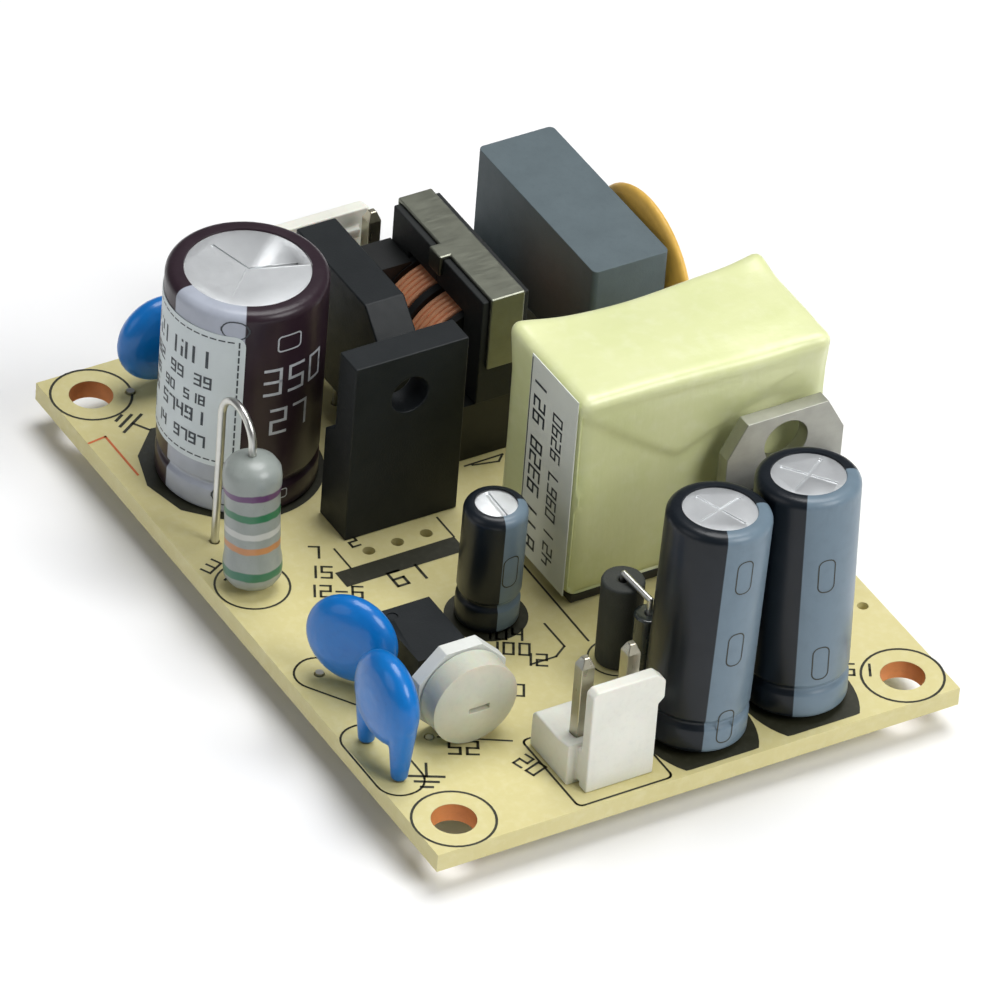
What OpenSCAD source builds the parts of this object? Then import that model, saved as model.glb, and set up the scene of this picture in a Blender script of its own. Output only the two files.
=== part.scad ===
// Open frame power supply: one single-sided board with through-hole parts.
// +X runs from the mains input end to the low-voltage output end, +Y across the
// board, +Z up. The origin is the middle of the four mounting holes, on the
// board's underside. Places along X are measured from the nearer board end, and
// places along Y from the nearer board side.

/* [Board] */
// Length of the board
board_l = 63.5; // [62:0.5:80]
// Width of the board
board_w = 45.7; // [45:0.1:60]
// Thickness of the board
board_t = 1.6; // [1:0.1:2.4]
// Distance of a mounting hole from each board edge
hole_inset = 3.175; // [2.6:0.025:3.4]
// Radius of a mounting hole
hole_r = 1.75; // [1.2:0.05:2.1]
// Side gap round each wire in its board hole
lead_gap = 0.1; // [0.05:0.01:0.2]
// Radius of the component wires
lead_r = 0.32; // [0.25:0.01:0.4]
// Radius of a solder joint where it meets the board
solder_r = 0.95; // [0.7:0.05:1]
// Height of a solder joint with its trimmed wire end
solder_h = 2.1; // [1.8:0.1:3]

/* [Bulk capacitor] */
// Centre from the input end and from the near side
bulk_at = [15.85, 9.1]; // [0:0.05:60]
// Outer radius over the sleeve
bulk_r = 6.35; // [5:0.05:6.5]
// Height of the can
bulk_h = 19.2; // [14:0.1:25]
// Distance between its two wires
bulk_pitch = 5; // [3.5:0.5:7.5]
// Wall of every capacitor sleeve
sleeve_t = 0.15; // [0.1:0.01:0.25]
// Width of the sleeve rim that folds over the bulk capacitor's top
bulk_lip = 1.4; // [0.5:0.05:1.8]
// Shoulder radius of every can
can_round = 0.6; // [0.3:0.05:0.9]
// Depth of the crimped groove round every can
crimp_depth = 0.3; // [0.1:0.05:0.5]
// Height of the crimped groove above the can base
crimp_z = 2.6; // [2:0.1:4]
// Depth and width of the scored vent lines
score = [0.12, 0.3]; // [0.05:0.01:0.5]
// Thickness of every paper label
label_t = 0.08; // [0.05:0.01:0.15]
// Height of the label on the bulk capacitor
bulk_label_h = 12.6; // [8:0.1:14]
// Height of that label's lower edge above the can base
bulk_label_z = 4.6; // [3:0.1:6]
// Angles at which that label starts and ends
bulk_label_span = [-196, -29]; // [-260:1:0]

/* [Connectors] */
// Middle of the input connector from the input end and from the near side
input_at = [3.75, 23.4]; // [0:0.05:60]
// Distance between neighbouring pin places
pin_pitch = 3.96; // [3.5:0.01:5.08]
// Width of a square pin
pin_w = 1.14; // [0.6:0.01:1.2]
// Height of the pin tips above the board
pin_h = 10.7; // [8:0.1:14]
// Length of the taper at a pin's tip
pin_taper = 0.8; // [0.3:0.1:1.2]
// Thickness of a connector base
conn_base_h = 3.4; // [2.5:0.1:4.5]
// Depth of a connector base, from its locking wall inwards
conn_base_d = 6.9; // [6:0.1:7]
// Thickness of the locking wall
conn_wall_t = 1.1; // [0.8:0.05:1.4]
// Height of the locking wall above the board
conn_wall_h = 9.5; // [7:0.1:12]
// Cut corner at the locking wall's upper far end
conn_wall_cut = 0.8; // [0.3:0.1:1.2]
// Distance of the locking wall's ends from the ends of the base
conn_wall_in = 0.85; // [0.5:0.05:1.2]
// Slit between the base and the wall, open at the board
conn_slit = 0.4; // [0.2:0.05:0.6]
// Reach and height of the ear at the wall's upper end
conn_ear = [0.5, 2.4]; // [0.2:0.1:3]
// Reach and height of the catch ridge on the wall
conn_catch = [0.5, 0.9]; // [0.3:0.1:1.2]
// Small eased edges of the headers
conn_ease = 0.4; // [0.2:0.1:0.8]
// Distance from the pin line to the outer face of the wall
conn_pin_back = 3.0; // [2.6:0.1:3.4]
// Middle of the output connector from the output end and from the near side
output_at = [4.45, 16.45]; // [0:0.05:60]
// Length of each base past the outer pin places
conn_over = 1.8; // [1.4:0.05:2]

/* [Common-mode choke] */
// Middle of the choke from the input end and from the near side
choke_at = [16.05, 28.05]; // [0:0.05:60]
// Length, thickness and height of the closed ferrite loop
core_size = [14, 4.1, 9.8]; // [2:0.1:20]
// Width of the ferrite legs
core_leg = 2.7; // [2:0.1:3.2]
// Height of the ferrite loop's lower face above the board
core_z = 5.4; // [4.8:0.1:7]
// Slack between the ferrite and the bobbin
core_gap = 0.1; // [0.05:0.01:0.2]
// Wall of the bobbin tube
bobbin_wall = 0.7; // [0.4:0.05:1]
// Thickness of the bobbin's flanges
flange_t = 0.7; // [0.5:0.05:0.9]
// Outer radius of the two wound sections
winding_r = 5.5; // [4.5:0.05:5.6]
// Radius of the flanges
flange_r = 5.6; // [5.4:0.05:5.6]
// Width of the bobbin's feet across the board
bobbin_foot_w = 8.2; // [6:0.1:8.4]
// Thickness of the yellow film over the sections
film_t = 0.07; // [0.04:0.01:0.09]
// Angles about the winding at which the film starts and ends, from the far side
film_span = [54, 94]; // [0:1:180]
// Thickness of the spring steel clip
clip_t = 0.35; // [0.2:0.05:0.5]
// Width of the clip
clip_w = 3; // [2:0.1:4]
// Length of the clip's two bent legs
clip_leg = 6.4; // [3:0.1:8]
// Width and drop of the small tab on the clip's side
clip_tab = [1.7, 1.5]; // [0.5:0.1:3]

/* [Input parts] */
// Middle of the line capacitor from the input end and from the far side
line_cap_at = [13, 5.75]; // [0:0.05:60]
// Length, width and height of the line capacitor
line_cap = [18.2, 6.8, 13.8]; // [4:0.1:20]
// Height of the moulded feet below it
line_cap_foot = 0.3; // [0.2:0.1:0.6]
// Distance between its two wires
line_cap_pitch = 15; // [7.5:0.5:15]
// Middle of the surge disc from the input end and from the far side
surge_at = [16.6, 1.15]; // [0:0.05:60]
// Radius of the surge disc
surge_r = 7.5; // [5:0.1:8]
// Thickness of the surge disc
surge_t = 2.2; // [1.8:0.1:2.2]
// Distance between its two wires
surge_pitch = 7.5; // [5:0.5:10]
// Middle of the fuse from the input end and from the far side
fuse_at = [6.55, 11.45]; // [0:0.05:60]
// Length, width and height of the fuse
fuse_size = [8, 3.7, 6]; // [2:0.1:9]
// Distance between its two wires
fuse_pitch = 5.08; // [4:0.01:6]
// Middle of the bridge rectifier from the input end and from the near side
bridge_at = [14.15, 20]; // [0:0.05:60]
// Length, thickness and height of the bridge rectifier
bridge_size = [13.4, 3.5, 10.8]; // [3:0.1:16]
// Height of the bridge rectifier above the board
bridge_z = 3.5; // [3.5:0.1:5]
// Length of the cut corner on the bridge rectifier
bridge_cut = 2.5; // [1:0.1:3]
// Distance between its four wires
bridge_pitch = 3.81; // [2.5:0.01:4]

/* [Disc capacitors] */
// Radius of the blue discs
disc_r = 3.8; // [3:0.1:3.9]
// Thickness of the blue discs
disc_t = 3.3; // [2:0.1:3.4]
// Heights of the centres above the board: disc by the input, left and right disc
disc_z = [4.6, 4.5, 6]; // [4:0.1:6]
// Distance between the wires of a disc
disc_pitch = 5; // [4:0.1:7]
// Radius of the coated stem round each disc wire, at the board
stem_r = 0.65; // [0.5:0.05:1]
// Radius of the stem where it runs into the disc
stem_top_r = 1.1; // [0.7:0.05:1.3]
// Disc beside the input, from the input end and from the near side
disc_in_at = [4.2, 8.6]; // [0:0.05:60]
// Left disc, from the output end and from the near side
disc_left_at = [20.4, 3.85]; // [0:0.05:60]
// Turn of the left disc
disc_left_turn = -56; // [-60:1:0]
// Right disc, from the output end and from the near side
disc_right_at = [11.5, 1.75]; // [0:0.05:60]

/* [Switching side] */
// Middle of the switching transistor from the input end and near side
switch_at = [27.75, 17.05]; // [0:0.05:60]
// Thickness, width and height of its moulded body
switch_size = [4, 9.9, 16.5]; // [2:0.1:18]
// Thickness and height of its thin upper part
switch_top = [2.6, 7.3]; // [1:0.1:9]
// Radius of its screw hole
switch_hole_r = 1.6; // [1.4:0.05:1.8]
// Height of the screw hole above the board
switch_hole_z = 12.6; // [11:0.1:14]
// Distance between transistor wires
switch_pitch = 2.54; // [2:0.01:3]
// Row of three spare holes, from the transistor's face and from the near side
spare_at = [1.8, 15.75]; // [0:0.05:60]
// Radius of a spare hole
spare_r = 0.5; // [0.3:0.05:0.7]
// Foot of the damping resistor, from the input end and from the near side
resistor_at = [29.45, 3.05]; // [0:0.05:60]
// Radius and length of the damping resistor
resistor_size = [2.15, 11.6]; // [1:0.05:14]
// Radius of the rounded end bulges
resistor_bulge = 2.3; // [1.8:0.05:2.5]
// Lean of the damping resistor
resistor_lean = 6; // [0:0.5:8]
// Distance from the resistor's top to its returning wire
resistor_span = 4.8; // [4:0.1:6]
// Small controller chip under the board, from the output end and near side
chip_at = [28.6, 13.5]; // [0:0.05:60]
// Length, width and height of the controller chip
chip_size = [4.9, 3.9, 1.45]; // [1:0.05:6]

/* [Transformer] */
// Middle of the transformer from the output end and from the far side
trafo_at = [26.6, 11.35]; // [0:0.05:60]
// Length, width and height of the taped block
trafo_size = [11.3, 22.2, 19]; // [8:0.1:24]
// Radius of the block's upright edges
trafo_round = 0.7; // [0.3:0.1:2]
// Height of the moulded base below the block
trafo_base_h = 0.8; // [0.5:0.1:2]
// Inset of the base from the block's sides
trafo_base_in = 0.7; // [0.3:0.1:1.5]
// Width of the label on the block's near face
trafo_label_w = 6.9; // [4:0.1:8]
// Number of pins in each of the two rows
trafo_pins = 4; // [2:1:5]
// Distance between neighbouring pins
trafo_pitch = 5; // [3:0.1:5]
// Distance between the two rows of pins
trafo_rows = 7.5; // [5:0.1:8]

/* [Output side] */
// Middle of the output rectifier from the output end and far side
rect_at = [19.4, 5.3]; // [0:0.05:60]
// Thickness, width and height of the rectifier's metal tab
tab_size = [1.3, 10.4, 14.7]; // [1:0.1:16]
// Height of the rectifier above the board
rect_z = 0.3; // [0.1:0.1:1]
// Length of the cut corners along the tab's width and height
tab_cut = [1.6, 2.9]; // [0.5:0.1:3.5]
// Radius of the hole in the tab
tab_hole_r = 1.9; // [1.5:0.05:2]
// Distance of that hole from the tab's top
tab_hole_down = 2.7; // [2.3:0.1:3.2]
// Thickness, width and height of the rectifier's moulded body
rect_body = [3.1, 10.2, 8.4]; // [2:0.1:12]
// Middle of the optocoupler from the output end and near side
opto_at = [20, 9.9]; // [0:0.05:60]
// Length, width and height of the optocoupler
opto_size = [6.5, 4.6, 3.3]; // [2:0.1:8]
// Height of the optocoupler above the board
opto_z = 0.3; // [0.1:0.1:0.8]
// Distance between the optocoupler's rows of legs
opto_rows = 7.62; // [7:0.01:8]
// Distance between neighbouring legs
opto_pitch = 2.54; // [2:0.01:3]
// Thickness and width of the legs
opto_leg = [0.25, 0.9]; // [0.1:0.05:1.4]
// Axis of the trimmer from the output end and near side
trim_at = [12.35, 8.8]; // [0:0.05:60]
// Distance across the trimmer plate's flats
trim_flats = 7.5; // [6:0.1:7.6]
// Thickness of the trimmer plate
trim_plate_t = 1.2; // [1:0.1:2]
// Height of the trimmer axis above the board
trim_z = 3.85; // [3.8:0.05:6]
// Radius of the trimmer's turning dial
dial_r = 3.6; // [3:0.1:3.7]
// Thickness of the dial's flat rim
dial_rim = 2; // [0.6:0.1:2.4]
// Rise of the dial's domed face
dial_dome = 0.6; // [0.3:0.1:1.2]
// Radius of the stud that the dial turns on
dial_stud_r = 1.2; // [0.8:0.05:1.5]
// Running clearance round the stud
dial_gap = 0.05; // [0.02:0.01:0.1]
// Gap between the dial and the plate
dial_face_gap = 0.12; // [0.05:0.01:0.3]
// Length, width and depth of the screwdriver slot
dial_slot = [1.8, 0.5, 0.5]; // [0.2:0.1:3]
// Middle of the ferrite bead from the output end and near side
bead_at = [14.45, 23.85]; // [0:0.05:60]
// Radius and height of the ferrite bead
bead_size = [1.7, 7.7]; // [1:0.1:9]
// Middle of the output diode from the output end and near side
diode_at = [11.2, 24.3]; // [0:0.05:60]
// Radius and height of the output diode
diode_size = [1.2, 5.6]; // [0.8:0.1:7]
// Height of the output diode above the board
diode_z = 1; // [0.5:0.1:2]
// Radius of the bare wire over the bead and the diode
link_r = 0.26; // [0.2:0.01:0.35]
// Radius of the small capacitor
small_r = 2.5; // [2:0.05:2.6]
// Height of the small capacitor
small_h = 11.1; // [7:0.1:14]
// Width of the sleeve rim on its top
small_lip = 0.65; // [0.5:0.05:1]
// Small capacitor from the output end and near side
small_at = [23.25, 17.45]; // [0:0.05:60]
// Distance between its wires
small_pitch = 2; // [1.5:0.1:2.5]
// Radius of the two output capacitors
out_r = 4.05; // [3:0.05:4.1]
// Height of the two output capacitors
out_h = 19.8; // [12:0.1:22]
// Width of the sleeve rim on their tops
out_lip = 1.15; // [0.5:0.05:1.5]
// Distance between the wires of an output capacitor
out_pitch = 3.5; // [2.5:0.5:5]
// Left output capacitor from the output end and near side
out_left_at = [4.95, 24.95]; // [0:0.05:60]
// Right output capacitor from the output end and far side
out_right_at = [5.15, 11.7]; // [0:0.05:60]
// Lean of the small capacitor, and the compass angle it leans to
small_lean = [2, -14]; // [-180:0.5:180]
// Lean of the left output capacitor, and its compass angle
out_left_lean = [3.7, 122]; // [-180:0.5:180]
// Lean of the right output capacitor, and its compass angle
out_right_lean = [3.7, 170]; // [-180:0.5:180]
// Radius of the small bare hole near the far side
via_r = 0.45; // [0.3:0.05:0.6]
// That hole from the output end and far side
via_at = [11.75, 1.5]; // [0:0.05:60]

/* [Hidden] */
$fn = 48;
// Overrun of every cut past the face it opens
over = 0.5;

// Places on the board, from its ends and sides
function in_x(d) = d - board_l / 2;
function out_x(d) = board_l / 2 - d;
function near_y(d) = d - board_w / 2;
function far_y(d) = board_w / 2 - d;
function in_near(p) = [in_x(p[0]), near_y(p[1])];
function in_far(p) = [in_x(p[0]), far_y(p[1])];
function out_near(p) = [out_x(p[0]), near_y(p[1])];
function out_far(p) = [out_x(p[0]), far_y(p[1])];

bulk_xy = in_near(bulk_at);
input_xy = in_near(input_at);
output_xy = out_near(output_at);
choke_xy = in_near(choke_at);
line_cap_xy = in_far(line_cap_at);
surge_xy = in_far(surge_at);
fuse_xy = in_far(fuse_at);
bridge_xy = in_near(bridge_at);
disc_in_xy = in_near(disc_in_at);
disc_left_xy = out_near(disc_left_at);
disc_right_xy = out_near(disc_right_at);
switch_xy = in_near(switch_at);
resistor_xy = in_near(resistor_at);
chip_xy = out_near(chip_at);
trafo_xy = out_far(trafo_at);
rect_xy = out_far(rect_at);
opto_xy = out_near(opto_at);
trim_xy = out_near(trim_at);
bead_xy = out_near(bead_at);
diode_xy = out_near(diode_at);
small_xy = out_near(small_at);
out_left_xy = out_near(out_left_at);
out_right_xy = out_far(out_right_at);
via_xy = out_far(via_at);
spare_xy = [switch_xy[0] + spare_at[0], near_y(spare_at[1])];

// count places, pitch apart along the compass angle turn, about the middle c
function row(c, count, pitch, turn) = [
    for (i = [0 : count - 1])
        c + (i - (count - 1) / 2) * pitch * [cos(turn), sin(turn)]
];
// The same places with the height above the board at which their wires end
function wires(places, top) = [for (p = places) [p[0], p[1], top]];

// Lift of a leaning can whose edge of radius r stays on the board
function lean_lift(r, lean) = r * sin(lean[0]);
// Height above the board at which its wires clear the leaning base
function wire_top(r, pitch, lean) = lean_lift(r - pitch / 2 - lead_r, lean);

// Middle line of the ferrite's lower leg
winding_z = board_t + core_z + core_leg / 2;
core_top = board_t + core_z + core_size[2];
window_l = core_size[0] - 2 * core_leg;
trafo_z = board_t + trafo_base_h;
trafo_near_y = trafo_xy[1] - trafo_size[1] / 2;
switch_face_x = switch_xy[0];
// The transistor's wires leave the middle of its thick lower part
switch_wire_x = switch_face_x - switch_size[0] / 2;
rect_wire_x = rect_xy[0] + rect_body[0] / 2;
resistor_top = [
    resistor_xy[0] - resistor_size[1] * sin(resistor_lean),
    resistor_xy[1],
    board_t + resistor_size[0] * sin(resistor_lean) + resistor_size[1] * cos(resistor_lean)
];
return_x = resistor_top[0] - resistor_span;

WIRES = concat(
    wires(row(bulk_xy, 2, bulk_pitch, 90), 0),
    wires(row([choke_xy[0] - core_size[0] / 2 + core_leg / 2, choke_xy[1]], 2, 5, 90), 0),
    wires(row([choke_xy[0] + core_size[0] / 2 - core_leg / 2, choke_xy[1]], 2, 5, 90), 0),
    wires(row(line_cap_xy, 2, line_cap_pitch, 0), line_cap_foot),
    wires(row(surge_xy, 2, surge_pitch, 0), 0.2),
    wires(row(fuse_xy, 2, fuse_pitch, 0), 0),
    wires(row(bridge_xy, 4, bridge_pitch, 0), bridge_z),
    wires(row(disc_in_xy, 2, disc_pitch, 90), 0.2),
    wires(row(disc_left_xy, 2, disc_pitch, disc_left_turn + 90), 0.2),
    wires(row(disc_right_xy, 2, disc_pitch, 0), 0.2),
    wires(row([switch_wire_x, switch_xy[1]], 3, switch_pitch, 90), 0),
    wires([resistor_xy], 0),
    wires(row([trafo_xy[0] - trafo_rows / 2, trafo_xy[1]], trafo_pins, trafo_pitch, 90), 0),
    wires(row([trafo_xy[0] + trafo_rows / 2, trafo_xy[1]], trafo_pins, trafo_pitch, 90), 0),
    wires(row([rect_wire_x, rect_xy[1]], 3, switch_pitch, 90), rect_z),
    wires(row([trim_xy[0], trim_xy[1]], 3, opto_pitch, 90), 0),
    wires(row(small_xy, 2, small_pitch, 90), wire_top(small_r, small_pitch, small_lean)),
    wires(row(out_left_xy, 2, out_pitch, 90), wire_top(out_r, out_pitch, out_left_lean)),
    wires(row(out_right_xy, 2, out_pitch, 90), wire_top(out_r, out_pitch, out_right_lean))
);
// Wires that belong to a bent lead of their own and pass the board on their way
LINKS = [
    [return_x, resistor_xy[1]], bead_xy, diode_xy
];
OPTO_LEGS = concat(
    row([opto_xy[0] - opto_rows / 2, opto_xy[1]], 2, opto_pitch, 90),
    row([opto_xy[0] + opto_rows / 2, opto_xy[1]], 2, opto_pitch, 90)
);
// The input connector has three pin places and no pin in the middle one
INPUT_PINS = row(input_xy, 2, 2 * pin_pitch, 90);
OUTPUT_PINS = row(output_xy, 2, pin_pitch, 90);
MOUNT_HOLES = [
    for (sx = [-1, 1], sy = [-1, 1])
        [sx * (board_l / 2 - hole_inset), sy * (board_w / 2 - hole_inset)]
];

// A flat rectangle with round corners
module rounded(size, r) {
    square([size[0] - 2 * r, size[1]], center = true);
    square([size[0], size[1] - 2 * r], center = true);
    for (sx = [-1, 1], sy = [-1, 1])
        translate([sx * (size[0] / 2 - r), sy * (size[1] / 2 - r)])
            circle(r);
}

// Points of a quarter circle about c, from angle a
function quarter(c, r, a) = [
    for (i = [0 : 4]) c + r * [cos(a + i * 22.5), sin(a + i * 22.5)]
];

// Outline of a can: base, crimped groove, wall and rounded shoulder
function can_line(r, h) = concat(
    [[0, 0], [r - can_round / 2, 0], [r, can_round / 2]],
    [[r, crimp_z - 2 * crimp_depth], [r - crimp_depth, crimp_z], [r, crimp_z + 2 * crimp_depth]],
    quarter([r - can_round, h - can_round], can_round, 0),
    [[0, h]]
);

// Inner can, with arms scored lines across its top
module can(r, h, arms, lip) {
    color("silver")
    difference() {
        rotate_extrude() polygon(can_line(r - sleeve_t, h - sleeve_t));
        for (i = [0 : arms - 1])
            rotate(i * 360 / arms)
                translate([0, -score[1] / 2, h - sleeve_t - score[0]])
                    cube([(r - lip) * 0.8, score[1], score[0] + over]);
    }
}

// Shrunk sleeve round a can, folded over its top
module sleeve(r, h, lip) {
    rotate_extrude()
    difference() {
        polygon(can_line(r, h));
        polygon(can_line(r - sleeve_t, h - sleeve_t));
        translate([0, -over]) square([r - lip, h + 2 * over]);
    }
}

// Places its children, standing on the board and leaning
module standing(xy, r, lean) {
    translate([xy[0], xy[1], board_t + lean_lift(r, lean)])
        rotate([0, 0, lean[1]])
            rotate([0, lean[0], 0])
                rotate([0, 0, -lean[1]])
                    children();
}

module circuit_board() {
    color("wheat")
    difference() {
        translate([-board_l / 2, -board_w / 2, 0]) cube([board_l, board_w, board_t]);
        translate([0, 0, -over]) linear_extrude(board_t + 2 * over) {
            for (p = MOUNT_HOLES) translate(p) circle(hole_r);
            for (p = WIRES) translate([p[0], p[1]]) circle(lead_r + lead_gap);
            for (p = LINKS) translate(p) circle(lead_r + lead_gap);
            for (p = OPTO_LEGS) translate(p) circle(opto_leg[1] / 2 + lead_gap);
            for (p = concat(INPUT_PINS, OUTPUT_PINS)) translate(p) circle(pin_w * sqrt(0.5) + lead_gap);
            for (p = row(spare_xy, 3, switch_pitch, 90)) translate(p) circle(spare_r);
            translate(via_xy) circle(via_r);
        }
    }
}

// One solder cone below the board, round a trimmed end of radius r
module solder(r) {
    rotate_extrude()
        polygon([
            [0, 0], [solder_r, 0], [(solder_r + r) / 2, -solder_h * 0.25],
            [r + 0.1, -solder_h * 0.6], [r, -solder_h + 0.15], [r - 0.15, -solder_h], [0, -solder_h]
        ]);
}

module solder_joints() {
    color("gainsboro") {
        for (p = WIRES) translate([p[0], p[1], 0]) solder(lead_r);
        for (p = LINKS) translate([p[0], p[1], 0]) solder(lead_r);
        for (p = OPTO_LEGS) translate([p[0], p[1], 0]) solder(lead_r);
        for (p = concat(INPUT_PINS, OUTPUT_PINS)) translate([p[0], p[1], 0]) solder(pin_w / 2);
    }
}

module component_leads() {
    color("silver")
        for (p = WIRES) translate([p[0], p[1], 0]) cylinder(r = lead_r, h = board_t + p[2]);
}

module control_chip() {
    legs = 4;
    leg_pitch = 1.27;
    leg_out = 1;
    leg_t = 0.2;
    color("dimgray")
    translate([chip_xy[0], chip_xy[1], 0]) {
        translate([-chip_size[0] / 2, -chip_size[1] / 2, -chip_size[2] - 0.1])
            cube(chip_size);
        for (side = [-1, 1], i = [0 : legs - 1])
            translate([(i - (legs - 1) / 2) * leg_pitch, side * (chip_size[1] + leg_out) / 2, 0]) {
                translate([-leg_t, -leg_out / 2, -leg_t]) cube([2 * leg_t, leg_out, leg_t]);
                translate([-leg_t, -leg_t / 2 - side * (leg_out - leg_t) / 2, -chip_size[2] / 2])
                    cube([2 * leg_t, leg_t, chip_size[2] / 2]);
            }
    }
}

module bulk_capacitor() {
    translate([bulk_xy[0], bulk_xy[1], board_t]) rotate(75) can(bulk_r, bulk_h, 3, bulk_lip);
}

module bulk_capacitor_sleeve() {
    color("maroon") translate([bulk_xy[0], bulk_xy[1], board_t]) sleeve(bulk_r, bulk_h, bulk_lip);
}

module bulk_capacitor_label() {
    color("white")
    translate([bulk_xy[0], bulk_xy[1], board_t + bulk_label_z])
        rotate(bulk_label_span[0])
            rotate_extrude(angle = bulk_label_span[1] - bulk_label_span[0])
                translate([bulk_r, 0]) square([label_t, bulk_label_h]);
}

// A header for count pin places; out is the side its locking wall faces
module header(xy, count, out) {
    w = (count - 1) * pin_pitch + 2 * conn_over;
    wall_w = w - 2 * conn_wall_in;
    wall_x = conn_pin_back - conn_wall_t;
    base_d = conn_base_d - conn_wall_t - conn_slit;
    base_x = wall_x - conn_slit - base_d;
    ramp = 1.6;
    ear_z = conn_wall_h - conn_ear[1];
    color("white")
    translate([xy[0], xy[1], board_t])
    mirror([out < 0 ? 1 : 0, 0, 0])
    difference() {
        union() {
            // Base with an eased inner edge and a low ramp towards the wall
            translate([base_x, w / 2, 0])
                rotate([90, 0, 0])
                    linear_extrude(w)
                        polygon([
                            [0, 0], [base_d, 0], [base_d, conn_base_h + conn_ease],
                            [base_d - ramp, conn_base_h], [conn_ease, conn_base_h],
                            [0, conn_base_h - conn_ease]
                        ]);
            // Bridge over the slit between base and wall
            translate([wall_x - conn_slit - over, -wall_w / 2, conn_ease])
                cube([conn_slit + 2 * over, wall_w, conn_base_h - conn_ease]);
            // Locking wall with an ear at its upper far corner
            translate([wall_x, 0, 0])
                rotate([90, 0, 90])
                    linear_extrude(conn_wall_t)
                        polygon([
                            [-wall_w / 2, 0], [wall_w / 2, 0], [wall_w / 2, ear_z - conn_ear[0]],
                            [wall_w / 2 + conn_ear[0], ear_z],
                            [wall_w / 2 + conn_ear[0], conn_wall_h - conn_wall_cut],
                            [wall_w / 2 + conn_ear[0] - conn_wall_cut, conn_wall_h],
                            [-wall_w / 2 + conn_ease, conn_wall_h],
                            [-wall_w / 2, conn_wall_h - conn_ease]
                        ]);
            // Catch ridge across the wall's inner face
            translate([wall_x - conn_catch[0], -wall_w / 2 + 1, ear_z])
                cube([conn_catch[0] + over, wall_w - 2, conn_catch[1]]);
        }
        // Pin passages
        for (p = row([0, 0], 2, (count - 1) * pin_pitch, 90))
            translate([p[0], p[1], conn_base_h / 2])
                cube([pin_w, pin_w, conn_base_h + 2 * over], center = true);
    }
}

// A square pin with four tapered faces at its tip, from the board's underside
module square_pin() {
    top = board_t + pin_h;
    tip_w = pin_w * 0.45;
    side = [
        [-pin_w / 2, 0], [pin_w / 2, 0], [pin_w / 2, top - pin_taper],
        [tip_w / 2, top], [-tip_w / 2, top], [-pin_w / 2, top - pin_taper]
    ];
    intersection() {
        rotate([90, 0, 0]) translate([0, 0, -pin_w / 2]) linear_extrude(pin_w) polygon(side);
        rotate([90, 0, 90]) translate([0, 0, -pin_w / 2]) linear_extrude(pin_w) polygon(side);
    }
}

module input_housing() { header(input_xy, 3, -1); }

module input_pins() {
    color("gainsboro") for (p = INPUT_PINS) translate([p[0], p[1], 0]) square_pin();
}

module output_housing() { header(output_xy, 2, 1); }

module output_pins() {
    color("gainsboro") for (p = OUTPUT_PINS) translate([p[0], p[1], 0]) square_pin();
}

// One U-shaped half of the ferrite loop, open towards the middle; side is its end
module core_half(side) {
    half = core_size[0] / 2;
    color("dimgray")
    translate([choke_xy[0], choke_xy[1] - core_size[1] / 2, board_t + core_z])
    difference() {
        translate([side < 0 ? -half : 0, 0, 0]) cube([half, core_size[1], core_size[2]]);
        translate([side < 0 ? -half + core_leg : -over, -over, core_leg])
            cube([half - core_leg + over, core_size[1] + 2 * over, core_size[2] - 2 * core_leg]);
    }
}

module choke_core_rear() { core_half(-1); }

module choke_core_front() { core_half(1); }

// Places its children on the axis of the choke's lower leg, with Z along +X
module on_winding_axis() {
    translate([choke_xy[0], choke_xy[1], winding_z]) rotate([90, 0, 90]) children();
}

// Outer section of the bobbin tube
tube_out = [core_size[1] + 2 * (core_gap + bobbin_wall), core_leg + 2 * (core_gap + bobbin_wall)];

module choke_bobbin() {
    foot_l = core_leg - core_gap;
    cheek_h = core_z + core_size[2] - core_leg - 0.4;
    color("black")
    difference() {
        union() {
            on_winding_axis() {
                translate([0, 0, -window_l / 2 + core_gap])
                    linear_extrude(window_l - 2 * core_gap) square(tube_out, center = true);
                for (at = [-window_l / 2 + core_gap, -flange_t / 2, window_l / 2 - core_gap - flange_t])
                    translate([0, 0, at]) cylinder(r = flange_r, h = flange_t);
            }
            // Feet under the ends of the ferrite
            for (side = [-1, 1])
                translate([
                    choke_xy[0] + side * (window_l / 2 - core_gap - flange_t)
                        - (side < 0 ? foot_l + flange_t : 0),
                    choke_xy[1] - bobbin_foot_w / 2, board_t
                ])
                    cube([foot_l + flange_t, bobbin_foot_w, core_z - core_gap]);
            // Raised cheek beside the rear end of the ferrite
            translate([
                choke_xy[0] - core_size[0] / 2, choke_xy[1] - flange_r, board_t
            ])
                cube([core_leg + flange_t, flange_r - core_size[1] / 2 - core_gap, cheek_h]);
        }
        on_winding_axis()
            translate([0, 0, -core_size[0] / 2])
                linear_extrude(core_size[0])
                    square([core_size[1] + 2 * core_gap, core_leg + 2 * core_gap], center = true);
    }
}

// One wound section between two flanges; side is its end of the bobbin
module winding(side) {
    room = window_l / 2 - core_gap - 1.5 * flange_t;
    color("chocolate")
    on_winding_axis()
        translate([0, 0, side < 0 ? -room - flange_t / 2 : flange_t / 2])
            linear_extrude(room)
                difference() {
                    circle(winding_r);
                    square(tube_out, center = true);
                }
}

module choke_winding_rear() { winding(-1); }

module choke_winding_front() { winding(1); }

module choke_film() {
    film_l = window_l / 2 + 2.6;
    color("khaki")
    on_winding_axis()
        translate([0, 0, -film_l / 2 + 0.6])
            rotate(film_span[0])
                rotate_extrude(angle = film_span[1] - film_span[0])
                    translate([flange_r + 0.01, 0]) square([film_t, film_l]);
}

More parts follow.
